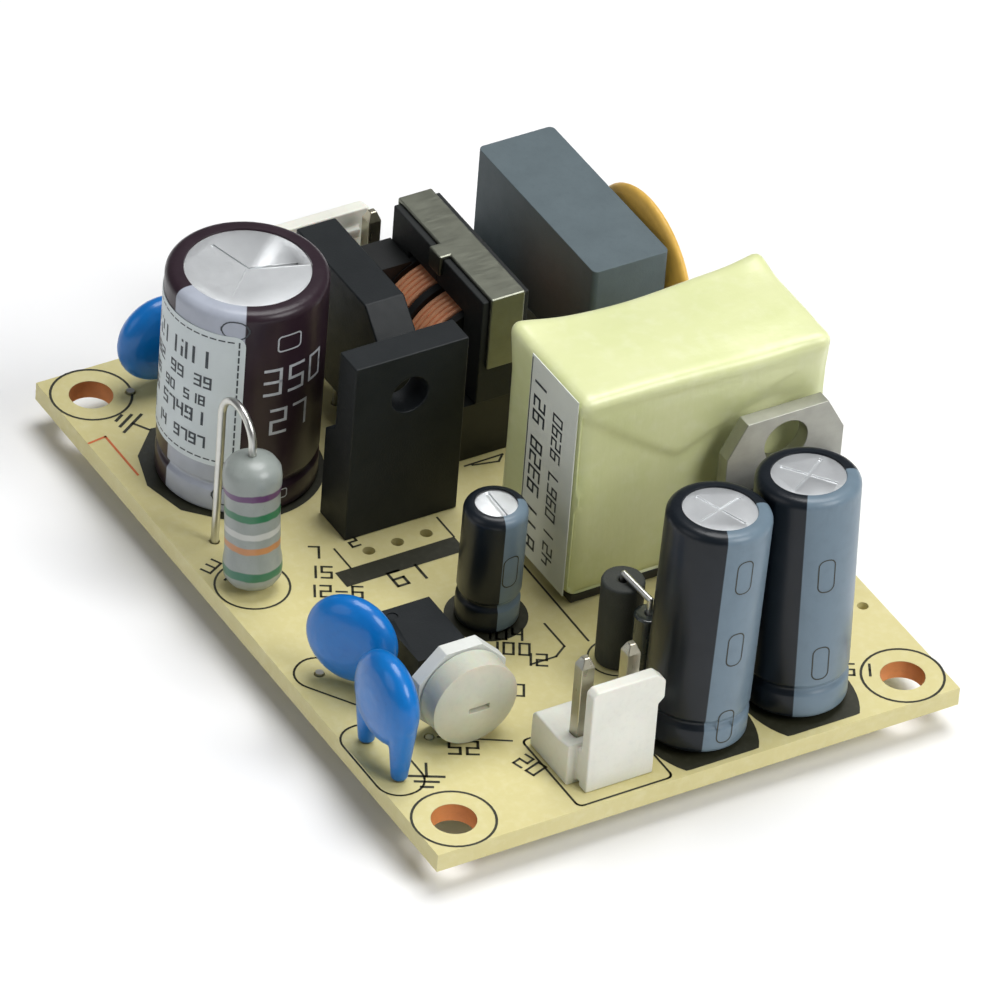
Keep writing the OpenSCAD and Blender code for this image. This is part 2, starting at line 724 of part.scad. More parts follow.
module choke_clip() {
    top_l = core_size[0] + 2 * clip_t;
    color("tan")
    translate([choke_xy[0], choke_xy[1], core_top]) {
        translate([-top_l / 2, -clip_w / 2, 0]) cube([top_l, clip_w, clip_t]);
        for (side = [-1, 1])
            translate([side * (core_size[0] + clip_t) / 2 - clip_t / 2, -clip_w / 2, -clip_leg])
                cube([clip_t, clip_w, clip_leg + clip_t]);
        translate([-clip_tab[0] / 2, -core_size[1] / 2 - clip_t, 0])
            cube([clip_tab[0], core_size[1] / 2 + clip_t, clip_t]);
        translate([-clip_tab[0] / 2, -core_size[1] / 2 - clip_t, -clip_tab[1]])
            cube([clip_tab[0], clip_t, clip_tab[1] + clip_t]);
    }
}

module line_capacitor() {
    edge_r = 0.5;
    foot = 1.2;
    color("slategray")
    translate([line_cap_xy[0], line_cap_xy[1], board_t]) {
        translate([0, 0, line_cap_foot])
            linear_extrude(line_cap[2]) rounded([line_cap[0], line_cap[1]], edge_r);
        for (sx = [-1, 1], sy = [-1, 1])
            translate([sx * (line_cap[0] / 2 - foot), sy * (line_cap[1] / 2 - foot), 0])
                cylinder(r = foot / 2, h = line_cap_foot + over);
    }
}

// A dipped disc standing on two coated stems, square to Y, z_mid above the board
module dipped_disc(r, t, pitch, z_mid, stem, top) {
    low = 0.2;
    // Half a lens section that is fuller than an ellipse by this power
    fullness = 0.75;
    step = 15;
    // Height at which the outer edge of a widening stem meets the rim
    reach = z_mid - sqrt(max(0, r * r - pow(pitch / 2 + top, 2)));
    translate([0, 0, board_t]) {
        translate([0, 0, z_mid])
            rotate([90, 0, 0])
                rotate_extrude()
                    polygon([
                        for (a = [-90 : step : 90])
                            [r * pow(max(0, cos(a)), fullness), t / 2 * sin(a)]
                    ]);
        for (s = [-1, 1])
            translate([s * pitch / 2, 0, low])
                cylinder(r1 = stem, r2 = top, h = reach - low);
    }
}

module surge_disc() {
    color("orange")
    translate([surge_xy[0], surge_xy[1], 0])
        dipped_disc(surge_r, surge_t, surge_pitch, surge_r + 0.2, surge_t / 4, surge_t / 3);
}

module fuse() {
    color("dimgray")
    translate([fuse_xy[0], fuse_xy[1], board_t])
        linear_extrude(fuse_size[2]) rounded([fuse_size[0], fuse_size[1]], 0.6);
}

module bridge_rectifier() {
    l = bridge_size[0];
    h = bridge_size[2];
    color("darkslategray")
    translate([bridge_xy[0], bridge_xy[1] + bridge_size[1] / 2, board_t + bridge_z])
        rotate([90, 0, 0])
            linear_extrude(bridge_size[1])
                polygon([
                    [-l / 2, 0], [l / 2, 0], [l / 2, h - bridge_cut],
                    [l / 2 - bridge_cut, h], [-l / 2, h]
                ]);
}

module blue_disc(z_mid) {
    color("dodgerblue") dipped_disc(disc_r, disc_t, disc_pitch, z_mid, stem_r, stem_top_r);
}

module disc_capacitor_input() {
    translate([disc_in_xy[0], disc_in_xy[1], 0]) rotate(90) blue_disc(disc_z[0]);
}

module disc_capacitor_left() {
    translate([disc_left_xy[0], disc_left_xy[1], 0]) rotate(disc_left_turn + 90) blue_disc(disc_z[1]);
}

module disc_capacitor_right() {
    translate([disc_right_xy[0], disc_right_xy[1], 0]) blue_disc(disc_z[2]);
}

module switch_transistor() {
    h = switch_size[2];
    step_z = h - switch_top[1];
    slope = 0.9;
    color("black")
    difference() {
        translate([switch_face_x, switch_xy[1] + switch_size[1] / 2, board_t])
            rotate([90, 0, 0])
                linear_extrude(switch_size[1])
                    polygon([
                        [0, 0], [0, h], [-switch_top[0], h], [-switch_top[0], step_z],
                        [-switch_size[0], step_z - slope], [-switch_size[0], 0]
                    ]);
        translate([switch_face_x - switch_size[0] - over, switch_xy[1], board_t + switch_hole_z])
            rotate([0, 90, 0])
                cylinder(r = switch_hole_r, h = switch_size[0] + 2 * over);
    }
}

module damping_resistor() {
    r = resistor_size[0];
    l = resistor_size[1];
    cap_l = 2.2;
    color("lightslategray")
    translate([resistor_xy[0], resistor_xy[1], board_t + r * sin(resistor_lean)])
        rotate([0, -resistor_lean, 0])
            rotate_extrude()
                polygon(concat(
                    [[0, 0], [r * 0.8, 0], [resistor_bulge, r * 0.3], [resistor_bulge, cap_l - 0.4]],
                    [[r, cap_l], [r, l - cap_l], [resistor_bulge, l - cap_l + 0.4]],
                    [[resistor_bulge, l - r * 0.3], [r * 0.8, l], [0, l]]
                ));
}

// A straight wire of radius r between two points
module wire(a, b, r) {
    d = b - a;
    flat = norm([d[0], d[1]]);
    translate(a)
        rotate([0, atan2(flat, d[2]), atan2(d[1], d[0])])
            cylinder(r = r, h = norm(d));
}

module resistor_lead() {
    bend = resistor_span / 2;
    straight = 0.6;
    color("silver") {
        wire(resistor_top + [0, 0, lead_r * sin(resistor_lean)], resistor_top + [0, 0, straight], lead_r);
        translate(resistor_top + [-bend, 0, straight])
            rotate([90, 0, 0])
                rotate_extrude(angle = 180) translate([bend, 0]) circle(lead_r, $fn = 24);
        wire([return_x, resistor_xy[1], 0], [return_x, resistor_xy[1], resistor_top[2] + straight], lead_r);
    }
}

module transformer() {
    color("khaki")
    translate([trafo_xy[0], trafo_xy[1], trafo_z])
        linear_extrude(trafo_size[2]) rounded([trafo_size[0], trafo_size[1]], trafo_round);
}

module transformer_base() {
    color("black")
    translate([trafo_xy[0], trafo_xy[1], board_t])
        linear_extrude(trafo_base_h)
            square([trafo_size[0] - 2 * trafo_base_in, trafo_size[1] - 2 * trafo_base_in], center = true);
}

module transformer_label() {
    color("whitesmoke")
    translate([
        trafo_xy[0] + trafo_size[0] / 2 - trafo_round - trafo_label_w,
        trafo_near_y - label_t, trafo_z + 0.2
    ])
        cube([trafo_label_w, label_t, trafo_size[2] - 0.4]);
}

module rectifier_tab() {
    w = tab_size[1];
    h = tab_size[2];
    color("silver")
    translate([rect_xy[0], rect_xy[1], board_t + rect_z])
        rotate([90, 0, 90])
            translate([0, 0, -tab_size[0] / 2])
                linear_extrude(tab_size[0])
                    difference() {
                        polygon([
                            [-w / 2, 0], [w / 2, 0], [w / 2, h - tab_cut[1]],
                            [w / 2 - tab_cut[0], h], [-w / 2 + tab_cut[0], h], [-w / 2, h - tab_cut[1]]
                        ]);
                        translate([0, h - tab_hole_down]) circle(tab_hole_r);
                    }
}

module rectifier_body() {
    color("black")
    translate([
        rect_xy[0] + tab_size[0] / 2, rect_xy[1] - rect_body[1] / 2, board_t + rect_z
    ])
        cube(rect_body);
}

module optocoupler() {
    dot_r = 0.45;
    color("black")
    translate([opto_xy[0], opto_xy[1], board_t + opto_z])
    difference() {
        translate([-opto_size[0] / 2, -opto_size[1] / 2, 0]) cube(opto_size);
        translate([-opto_size[0] / 2 + 2 * dot_r, -opto_size[1] / 2 + 2 * dot_r, opto_size[2] - 0.1])
            cylinder(r = dot_r, h = over);
    }
}

module optocoupler_legs() {
    shoulder_z = board_t + opto_z + opto_size[2] / 2;
    reach = (opto_rows - opto_size[0]) / 2;
    color("silver")
    for (p = OPTO_LEGS) {
        side = sign(p[0] - opto_xy[0]);
        translate([p[0], p[1], 0]) {
            translate([-opto_leg[0] / 2, -opto_leg[1] / 2, 0])
                cube([opto_leg[0], opto_leg[1], shoulder_z]);
            translate([-side * reach / 2, 0, shoulder_z - opto_leg[0] / 2])
                cube([reach, opto_leg[1], opto_leg[0]], center = true);
        }
    }
}

// Places its children on the dial's axis, with Z along +X, at the plate's face
module on_dial_axis() {
    translate([trim_xy[0], trim_xy[1], board_t + trim_z]) rotate([90, 0, 90]) children();
}

module trimmer_base() {
    cut = trim_flats * (1 - 1 / (1 + sqrt(2))) / 2;
    half = trim_flats / 2;
    foot_h = board_t + trim_z - half;
    color("white") {
        on_dial_axis()
            translate([0, 0, -trim_plate_t])
                linear_extrude(trim_plate_t)
                    difference() {
                        polygon([
                            [-half + cut, -half], [half - cut, -half], [half, -half + cut],
                            [half, half - cut], [half - cut, half], [-half + cut, half],
                            [-half, half - cut], [-half, -half + cut]
                        ]);
                        circle(dial_stud_r + dial_gap);
                    }
        // Foot down to the board
        translate([trim_xy[0] - trim_plate_t, trim_xy[1] - half + cut, board_t])
            cube([trim_plate_t, trim_flats - 2 * cut, foot_h - board_t + 0.2]);
    }
}

module trimmer_dial() {
    dome_r = (dial_r * dial_r + dial_dome * dial_dome) / (2 * dial_dome);
    rim_top = dial_face_gap + dial_rim;
    color("ivory")
    on_dial_axis()
    difference() {
        union() {
            translate([0, 0, dial_face_gap]) cylinder(r = dial_r, h = dial_rim);
            intersection() {
                translate([0, 0, rim_top + dial_dome - dome_r]) sphere(dome_r, $fn = 96);
                translate([0, 0, rim_top - 0.1]) cylinder(r = dial_r, h = dial_dome + 0.2);
            }
            translate([0, 0, -trim_plate_t + 0.1])
                cylinder(r = dial_stud_r, h = trim_plate_t + dial_face_gap);
        }
        translate([0, 0, rim_top + dial_dome])
            cube([dial_slot[0], dial_slot[1], 2 * dial_slot[2]], center = true);
    }
}

module ferrite_bead() {
    color("dimgray")
    translate([bead_xy[0], bead_xy[1], board_t])
    difference() {
        cylinder(r = bead_size[0], h = bead_size[1]);
        translate([0, 0, -over]) cylinder(r = link_r + lead_gap, h = bead_size[1] + 2 * over);
    }
}

module output_diode() {
    color("dimgray")
    translate([diode_xy[0], diode_xy[1], board_t + diode_z])
    difference() {
        cylinder(r = diode_size[0], h = diode_size[1]);
        translate([0, 0, -over]) cylinder(r = link_r, h = diode_size[1] + 2 * over);
    }
}

module diode_lead() {
    high = board_t + bead_size[1] + 0.5;
    low = board_t + diode_z + diode_size[1] + 1.2;
    over_bead = [bead_xy[0], bead_xy[1], high];
    over_diode = [diode_xy[0], diode_xy[1], low];
    color("silver") {
        wire([bead_xy[0], bead_xy[1], 0], over_bead, link_r);
        translate(over_bead) sphere(link_r);
        wire(over_bead, over_diode, link_r);
        translate(over_diode) sphere(link_r);
        wire([diode_xy[0], diode_xy[1], 0], over_diode, link_r);
    }
}

module small_capacitor() { standing(small_xy, small_r, small_lean) can(small_r, small_h, 2, small_lip); }

module small_capacitor_sleeve() {
    color("midnightblue") standing(small_xy, small_r, small_lean) sleeve(small_r, small_h, small_lip);
}

module output_capacitor_left() {
    standing(out_left_xy, out_r, out_left_lean) rotate(20) can(out_r, out_h, 4, out_lip);
}

module output_sleeve_left() {
    color("midnightblue") standing(out_left_xy, out_r, out_left_lean) sleeve(out_r, out_h, out_lip);
}

module output_capacitor_right() {
    standing(out_right_xy, out_r, out_right_lean) rotate(35) can(out_r, out_h, 4, out_lip);
}

module output_sleeve_right() {
    color("midnightblue") standing(out_right_xy, out_r, out_right_lean) sleeve(out_r, out_h, out_lip);
}

circuit_board();
solder_joints();
component_leads();
control_chip();
bulk_capacitor();
bulk_capacitor_sleeve();
bulk_capacitor_label();
input_housing();
input_pins();
output_housing();
output_pins();
choke_core_rear();
choke_core_front();
choke_bobbin();
choke_winding_rear();
choke_winding_front();
choke_film();
choke_clip();
line_capacitor();
surge_disc();
fuse();
bridge_rectifier();
disc_capacitor_input();
disc_capacitor_left();
disc_capacitor_right();
switch_transistor();
damping_resistor();
resistor_lead();
transformer();
transformer_base();
transformer_label();
rectifier_tab();
rectifier_body();
optocoupler();
optocoupler_legs();
trimmer_base();
trimmer_dial();
ferrite_bead();
output_diode();
diode_lead();
small_capacitor();
small_capacitor_sleeve();
output_capacitor_left();
output_sleeve_left();
output_capacitor_right();
output_sleeve_right();
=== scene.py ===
import math
import random

import bmesh
import bpy
import numpy as np
from mathutils import Matrix, Vector


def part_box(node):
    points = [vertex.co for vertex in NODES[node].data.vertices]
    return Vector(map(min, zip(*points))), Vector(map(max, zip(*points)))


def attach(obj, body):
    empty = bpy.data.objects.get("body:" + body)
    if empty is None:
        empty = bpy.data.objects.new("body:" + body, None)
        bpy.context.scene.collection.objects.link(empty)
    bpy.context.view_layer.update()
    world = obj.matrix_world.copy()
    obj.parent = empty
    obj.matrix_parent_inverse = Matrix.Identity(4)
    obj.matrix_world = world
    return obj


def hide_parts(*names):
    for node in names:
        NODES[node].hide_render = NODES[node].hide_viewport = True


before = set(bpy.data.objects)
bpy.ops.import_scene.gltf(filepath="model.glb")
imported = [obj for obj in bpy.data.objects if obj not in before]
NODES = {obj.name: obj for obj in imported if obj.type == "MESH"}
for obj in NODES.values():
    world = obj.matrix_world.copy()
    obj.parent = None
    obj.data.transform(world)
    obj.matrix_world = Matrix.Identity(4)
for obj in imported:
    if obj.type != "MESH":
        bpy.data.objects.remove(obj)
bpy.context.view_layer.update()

MM = 0.001
BOARD_LOW, BOARD_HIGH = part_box("circuit_board")
BOARD_TOP = BOARD_HIGH.z
REST_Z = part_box("solder_joints")[0].z


# ---------------------------------------------------------------- meshes

def new_piece(name, mesh, finish, body="board", stands_for=()):
    """A finished piece at the origin, riding on a body and standing for CAD nodes."""
    piece = bpy.data.objects.new(name, mesh)
    bpy.context.scene.collection.objects.link(piece)
    mesh.materials.clear()
    for one in finish if isinstance(finish, (list, tuple)) else [finish]:
        mesh.materials.append(one)
    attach(piece, body)
    if stands_for:
        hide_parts(*stands_for)
    return piece


def shade(mesh, sharp=38):
    """Smooth faces with hard edges where the surface turns by more than sharp degrees."""
    mesh.polygons.foreach_set("use_smooth", [True] * len(mesh.polygons))
    mesh.set_sharp_from_angle(angle=math.radians(sharp))
    return mesh


def from_bmesh(name, bm, sharp=38):
    mesh = bpy.data.meshes.new(name)
    bm.to_mesh(mesh)
    bm.free()
    return shade(mesh, sharp)


def from_lists(name, verts, faces, sharp=38):
    mesh = bpy.data.meshes.new(name)
    mesh.from_pydata([tuple(v) for v in verts], [], faces)
    mesh.validate()
    return shade(mesh, sharp)


def merged(node):
    """A copy of a CAD node's triangles with their shared corners joined."""
    bm = bmesh.new()
    bm.from_mesh(NODES[node].data)
    bmesh.ops.remove_doubles(bm, verts=bm.verts, dist=2e-6)
    bmesh.ops.recalc_face_normals(bm, faces=bm.faces)
    bmesh.ops.dissolve_limit(bm, angle_limit=math.radians(0.4), verts=bm.verts, edges=bm.edges)
    return bm


def baked(mesh, *makers):
    """The mesh after its modifiers: each maker adds one to a passing object."""
    carrier = bpy.data.objects.new("carrier", mesh)
    bpy.context.scene.collection.objects.link(carrier)
    for maker in makers:
        maker(carrier)
    view = bpy.context.evaluated_depsgraph_get()
    result = bpy.data.meshes.new_from_object(carrier.evaluated_get(view), depsgraph=view)
    bpy.data.objects.remove(carrier)
    return result


def eased(node, width=0.12, segments=2, sharp=38, turn=30):
    """A CAD node with its moulded edges eased by width, in mm."""
    start = from_bmesh(node + "_eased", merged(node), sharp)

    def bevel(carrier):
        step = carrier.modifiers.new("edges", "BEVEL")
        step.width = width * MM
        step.segments = segments
        step.limit_method = "ANGLE"
        step.angle_limit = math.radians(turn)
        step.use_clamp_overlap = True
        step.harden_normals = True

    return baked(start, bevel)


def dipped(node, cell=0.13, passes=12):
    """A CAD node melted into one skin, as a dipped coating settles."""
    start = from_bmesh(node + "_dipped", merged(node), 180)

    def melt(carrier):
        step = carrier.modifiers.new("skin", "REMESH")
        step.mode = "VOXEL"
        step.voxel_size = cell * MM
        step.use_smooth_shade = True

    def settle(carrier):
        step = carrier.modifiers.new("settle", "SMOOTH")
        step.factor = 0.5
        step.iterations = passes

    return shade(baked(start, melt, settle), 180)


def spun(name, profile, steps=96, sharp=38, place=None):
    """A surface of revolution about Z with a UV map: U is the angle, V the height in mm.
    profile is a list of (radius, height) in mm, from the bottom up or round a wall."""
    verts, faces, spots = [], [], []
    rings = []
    for r, z in profile:
        if r < 1e-6:
            rings.append([len(verts)] * (steps + 1))
            verts.append((0, 0, z * MM))
        else:
            first = len(verts)
            for i in range(steps):
                a = 2 * math.pi * i / steps
                verts.append((r * MM * math.cos(a), r * MM * math.sin(a), z * MM))
            rings.append([first + i for i in range(steps)] + [first])
    for k in range(len(profile) - 1):
        low, high = rings[k], rings[k + 1]
        for i in range(steps):
            corners = [(low[i], i, k), (low[i + 1], i + 1, k),
                       (high[i + 1], i + 1, k + 1), (high[i], i, k + 1)]
            kept = []
            for c in corners:
                if c[0] not in [q[0] for q in kept]:
                    kept.append(c)
            if len(kept) > 2:
                faces.append([c[0] for c in kept])
                spots.append([(c[1] / steps, profile[c[2]][1]) for c in kept])
    mesh = bpy.data.meshes.new(name)
    mesh.from_pydata(verts, [], faces)
    layer = mesh.uv_layers.new(name="UVMap")
    flat = [xy for spot in spots for point in spot for xy in point]
    layer.data.foreach_set("uv", flat)
    shade(mesh, sharp)
    if place is not None:
        mesh.transform(place)
    return mesh


def prism(outline, low, high):
    """Corners and faces of a flat outline raised from low to high; all in metres."""
    n = len(outline)
    verts = [(x, y, low) for x, y in outline] + [(x, y, high) for x, y in outline]
    faces = [list(range(n))[::-1], list(range(n, 2 * n))]
    faces += [[i, (i + 1) % n, n + (i + 1) % n, n + i] for i in range(n)]
    return verts, faces


# ---------------------------------------------------------------- finishes

class Finish:
    """A Principled material with small helpers for pattern, tint and bump."""

    def __init__(self, name, colour, roughness, metallic=0.0, **sockets):
        self.material = bpy.data.materials.new(name)
        self.material.use_nodes = True
        self.tree = self.material.node_tree
        self.shader = self.tree.nodes["Principled BSDF"]
        self.shader.inputs["Base Color"].default_value = (*colour, 1)
        self.shader.inputs["Roughness"].default_value = roughness
        self.shader.inputs["Metallic"].default_value = metallic
        for key, value in sockets.items():
            self.shader.inputs[key.replace("_", " ")].default_value = value
        self.colour = None
        self.relief = None

    def add(self, kind, **inputs):
        node = self.tree.nodes.new(kind)
        for key, value in inputs.items():
            setattr(node, key, value)
        return node

    def join(self, start, end):
        self.tree.links.new(start, end)

    def place(self, kind="Object", stretch=(1, 1, 1), turn=(0, 0, 0)):
        """Coordinates in mm, optionally stretched and turned."""
        spot = self.add("ShaderNodeTexCoord").outputs[kind]
        mapping = self.add("ShaderNodeMapping")
        scale = 1000 if kind == "Object" else 1
        mapping.inputs["Scale"].default_value = tuple(scale * s for s in stretch)
        mapping.inputs["Rotation"].default_value = turn
        self.join(spot, mapping.inputs["Vector"])
        return mapping.outputs["Vector"]

    def noise(self, size, detail=3.0, stretch=(1, 1, 1), turn=(0, 0, 0), kind="Object"):
        """Soft noise whose blobs are about size mm across."""
        node = self.add("ShaderNodeTexNoise")
        node.inputs["Scale"].default_value = 1 / size
        node.inputs["Detail"].default_value = detail
        self.join(self.place(kind, stretch, turn), node.inputs["Vector"])
        return node.outputs["Fac"]

    def grains(self, size, stretch=(1, 1, 1)):
        """Distance to the nearest of many scattered grains."""
        node = self.add("ShaderNodeTexVoronoi")
        node.inputs["Scale"].default_value = 1 / size
        self.join(self.place("Object", stretch), node.inputs["Vector"])
        return node.outputs["Distance"]

    def span(self, value, low, high, out_low=0.0, out_high=1.0):
        """Maps a value from low..high to out_low..out_high, clamped."""
        node = self.add("ShaderNodeMapRange")
        keys = ("From Min", "From Max", "To Min", "To Max")
        for key, number in zip(keys, (low, high, out_low, out_high)):
            node.inputs[key].default_value = number
        self.join(value, node.inputs["Value"])
        return node.outputs["Result"]

    def math(self, operation, a, b=0.0):
        node = self.add("ShaderNodeMath", operation=operation)
        for socket, value in zip(node.inputs, (a, b)):
            if isinstance(value, (int, float)):
                socket.default_value = value
            else:
                self.join(value, socket)
        return node.outputs[0]

    def band(self, value, low, high, soft):
        """1 where low < value < high, with soft edges."""
        rise = self.span(value, low - soft, low + soft)
        fall = self.span(value, high - soft, high + soft, 1.0, 0.0)
        return self.math("MULTIPLY", rise, fall)

    def tint(self, amount, colour):
        """Mixes a colour over what is there, by a factor."""
        node = self.add("ShaderNodeMix", data_type="RGBA")
        base, over = node.inputs[6], node.inputs[7]
        if self.colour is None:
            base.default_value = self.shader.inputs["Base Color"].default_value
        else:
            self.join(self.colour, base)
        over.default_value = (*colour, 1)
        self.join(amount, node.inputs[0])
        self.colour = node.outputs[2]
        self.join(self.colour, self.shader.inputs["Base Color"])
        return self

    def gloss(self, amount, low, high):
        """Roughness from low to high as a factor goes from 0 to 1."""
        self.join(self.span(amount, 0.0, 1.0, low, high), self.shader.inputs["Roughness"])
        return self

    def bump(self, height, depth, strength=1.0):
        """Relief of depth mm."""
        node = self.add("ShaderNodeBump")
        node.inputs["Distance"].default_value = depth * MM
        node.inputs["Strength"].default_value = strength
        self.join(height, node.inputs["Height"])
        if self.relief is not None:
            self.join(self.relief, node.inputs["Normal"])
        self.relief = node.outputs["Normal"]
        self.join(self.relief, self.shader.inputs["Normal"])
        return self


def moulded(name, colour, roughness=0.5, mottle=0.25, grain=0.02, **sockets):
    """Moulded plastic or epoxy: fine grain and slight mottling."""
    f = Finish(name, colour, roughness, **sockets)
    light = tuple(min(1, c * 1.35 + 0.012) for c in colour)
    f.tint(f.span(f.noise(2.5, 4), 0.3, 0.75, 0.0, mottle), light)
    f.tint(f.span(f.noise(0.45, 3), 0.52, 0.8, 0.0, mottle * 0.7), tuple(c * 0.75 for c in colour))
    f.gloss(f.noise(1.2, 3), roughness - 0.07, roughness + 0.09)
    f.bump(f.noise(0.12, 2), grain, 0.5)
    return f


def drawn_metal(name, colour, roughness, stretch=(1, 1, 1), grain=0.01):
    """Bare metal with fine directional scratches and a little tarnish."""
    f = Finish(name, colour, roughness, 1.0)
    dull = tuple(c * 0.72 for c in colour)
    f.tint(f.span(f.noise(1.4, 4), 0.35, 0.75, 0.0, 0.5), dull)
    f.gloss(f.noise(0.25, 3, stretch), roughness - 0.08, roughness + 0.14)
    f.bump(f.noise(0.1, 2, stretch), grain, 0.5)
    return f


def laminate_finish():
    """Cream paper laminate: clouded and faintly speckled."""
    f = Finish("board_laminate", (0.69, 0.62, 0.30), 0.42)
    f.tint(f.span(f.noise(9, 3), 0.35, 0.7, 0.0, 0.5), (0.60, 0.53, 0.22))
    f.tint(f.span(f.noise(0.8, 4), 0.45, 0.8, 0.0, 0.35), (0.78, 0.73, 0.46))
    f.tint(f.span(f.grains(0.5), 0.0, 0.12, 0.25, 0.0), (0.50, 0.42, 0.16))
    f.gloss(f.noise(1.5, 3), 0.36, 0.52)
    f.bump(f.noise(0.2, 2), 0.01, 0.6)
    return f


def blue_finish():
    """Thick glossy blue dip with small swells in its skin."""
    f = Finish("blue_coating", (0.001, 0.150, 0.50), 0.26, Specular_IOR_Level=0.35,
               Coat_Weight=0.30, Coat_Roughness=0.07)
    f.tint(f.span(f.noise(2.2, 3), 0.35, 0.75, 0.0, 0.6), (0.001, 0.190, 0.58))
    f.tint(f.span(f.noise(0.5, 3), 0.6, 0.8, 0.0, 0.3), (0.001, 0.105, 0.38))
    f.gloss(f.noise(0.9, 3), 0.26, 0.38)
    f.bump(f.noise(1.3, 2), 0.06, 0.6)
    return f


def sleeve_finish(name, colour, stripe, stripe_span, height):
    """Shrink sleeve: glossy film with a pale stripe between two turns of its UV map."""
    f = Finish(name, colour, 0.34, Specular_IOR_Level=0.3, Coat_Weight=0.10, Coat_Roughness=0.15)
    light = tuple(c * 1.6 + 0.003 for c in colour)
    f.tint(f.span(f.noise(2.6, 3), 0.4, 0.75, 0.0, 0.5), light)
    uv = f.add("ShaderNodeSeparateXYZ")
    f.join(f.add("ShaderNodeTexCoord").outputs["UV"], uv.inputs[0])
    turn, up = uv.outputs["X"], uv.outputs["Y"]
    inside = f.band(turn, stripe_span[0], stripe_span[1], 0.0012)
    f.tint(inside, stripe)
    f.tint(f.math("MULTIPLY", inside, f.span(f.noise(1.1, 4), 0.45, 0.8, 0.0, 0.35)),
           tuple(c * 0.72 for c in stripe))
    f.gloss(f.noise(1.6, 3), 0.28, 0.42)
    wrinkle = f.band(up, height - 1.4, height + 0.4, 0.5)
    f.bump(f.math("MULTIPLY", f.noise(0.7, 2, (1, 1, 0.35)), wrinkle), 0.06, 0.5)
    f.bump(f.noise(3.4, 2), 0.05, 0.5)
    return f


def paper_finish(name, colour):
    f = Finish(name, colour, 0.5)
    f.tint(f.span(f.noise(3.5, 3), 0.35, 0.75, 0.0, 0.5), tuple(c * 0.88 for c in colour))
    f.gloss(f.noise(1.3, 3), 0.42, 0.58)
    f.bump(f.noise(0.3, 3), 0.01, 0.5)
    return f


def ink_finish(name, colour, roughness=0.5):
    """Screen-printed ink: thin, a little broken up."""
    f = Finish(name, colour, roughness)
    f.tint(f.span(f.noise(0.5, 4), 0.5, 0.85, 0.0, 0.35), tuple(c * 1.8 + 0.03 for c in colour))
    f.gloss(f.noise(0.8, 3), roughness - 0.08, roughness + 0.1)
    return f


def can_top_finish():
    """Bare aluminium, matt and slightly streaked by rolling."""
    f = Finish("can_aluminium", (0.78, 0.80, 0.81), 0.34, 0.85)
    f.tint(f.span(f.noise(2.4, 4), 0.35, 0.75, 0.0, 0.5), (0.60, 0.62, 0.63))
    f.gloss(f.noise(0.5, 3, (1, 8, 1)), 0.28, 0.48)
    f.bump(f.noise(0.16, 2, (1, 10, 1)), 0.008, 0.6)
    return f


def tape_finish():
    """Pale yellow-green polyester tape over a winding: creased and thin."""
    f = Finish("transformer_tape", (0.74, 0.77, 0.42), 0.36, Coat_Weight=0.25, Coat_Roughness=0.2)
    f.tint(f.span(f.noise(5, 3), 0.35, 0.7, 0.0, 0.6), (0.66, 0.71, 0.33))
    f.tint(f.span(f.noise(1.2, 5), 0.5, 0.8, 0.0, 0.35), (0.83, 0.85, 0.60))
    f.gloss(f.noise(1.5, 3), 0.28, 0.46)
    f.bump(f.noise(1.6, 4, (1, 0.35, 0.5)), 0.10, 0.6)
    f.bump(f.noise(0.5, 3, (1, 1, 0.3)), 0.03, 0.5)
    return f


def resistor_finish(bands):
    """Grey-green lacquer with colour rings: (height in mm, half width, colour)."""
    f = Finish("resistor_lacquer", (0.26, 0.29, 0.27), 0.38, Coat_Weight=0.3, Coat_Roughness=0.2)
    f.tint(f.span(f.noise(1.4, 4), 0.35, 0.75, 0.0, 0.6), (0.34, 0.37, 0.35))
    f.tint(f.span(f.grains(0.35), 0.0, 0.2, 0.3, 0.0), (0.16, 0.18, 0.17))
    uv = f.add("ShaderNodeSeparateXYZ")
    f.join(f.add("ShaderNodeTexCoord").outputs["UV"], uv.inputs[0])
    waver = f.span(f.noise(1.8, 2), 0.3, 0.7, -0.08, 0.08)
    up = f.math("ADD", uv.outputs["Y"], waver)
    for at, half, colour in bands:
        f.tint(f.band(up, at - half, at + half, 0.05), colour)
    f.gloss(f.noise(0.8, 3), 0.30, 0.48)
    f.bump(f.noise(0.8, 3), 0.03, 0.6)
    return f


LAMINATE = laminate_finish().material
BLUE = blue_finish().material
BARE_EDGE = moulded("drilled_laminate", (0.62, 0.24, 0.07), 0.6, 0.5).material
INK = ink_finish("board_ink", (0.022, 0.022, 0.010)).material
ORANGE_INK = ink_finish("orange_ink", (0.62, 0.14, 0.035)).material
LABEL_INK = ink_finish("label_ink", (0.035, 0.045, 0.055)).material
GREY_INK = ink_finish("sleeve_print", (0.42, 0.44, 0.47)).material
BLACK_EPOXY = moulded("black_epoxy", (0.0055, 0.0080, 0.0095), 0.50, 0.3, 0.03,
                      Specular_IOR_Level=0.30).material
CAN_TOP = can_top_finish().material
TIN = drawn_metal("tinned_wire", (0.62, 0.62, 0.58), 0.30).material
SOLDER = drawn_metal("solder", (0.60, 0.61, 0.60), 0.26).material
NYLON = moulded("white_nylon", (0.74, 0.74, 0.66), 0.42, Subsurface_Weight=0.12,
                Subsurface_Scale=0.001).material
PIN_METAL = drawn_metal("pin_tin", (0.52, 0.49, 0.38), 0.28, (1, 1, 0.2)).material
FERRITE = moulded("ferrite", (0.011, 0.013, 0.013), 0.62, 0.4, 0.03,
                  Specular_IOR_Level=0.35).material
BOBBIN = moulded("bobbin_plastic", (0.0085, 0.0095, 0.0095), 0.45, 0.3, 0.02,
                 Specular_IOR_Level=0.35).material
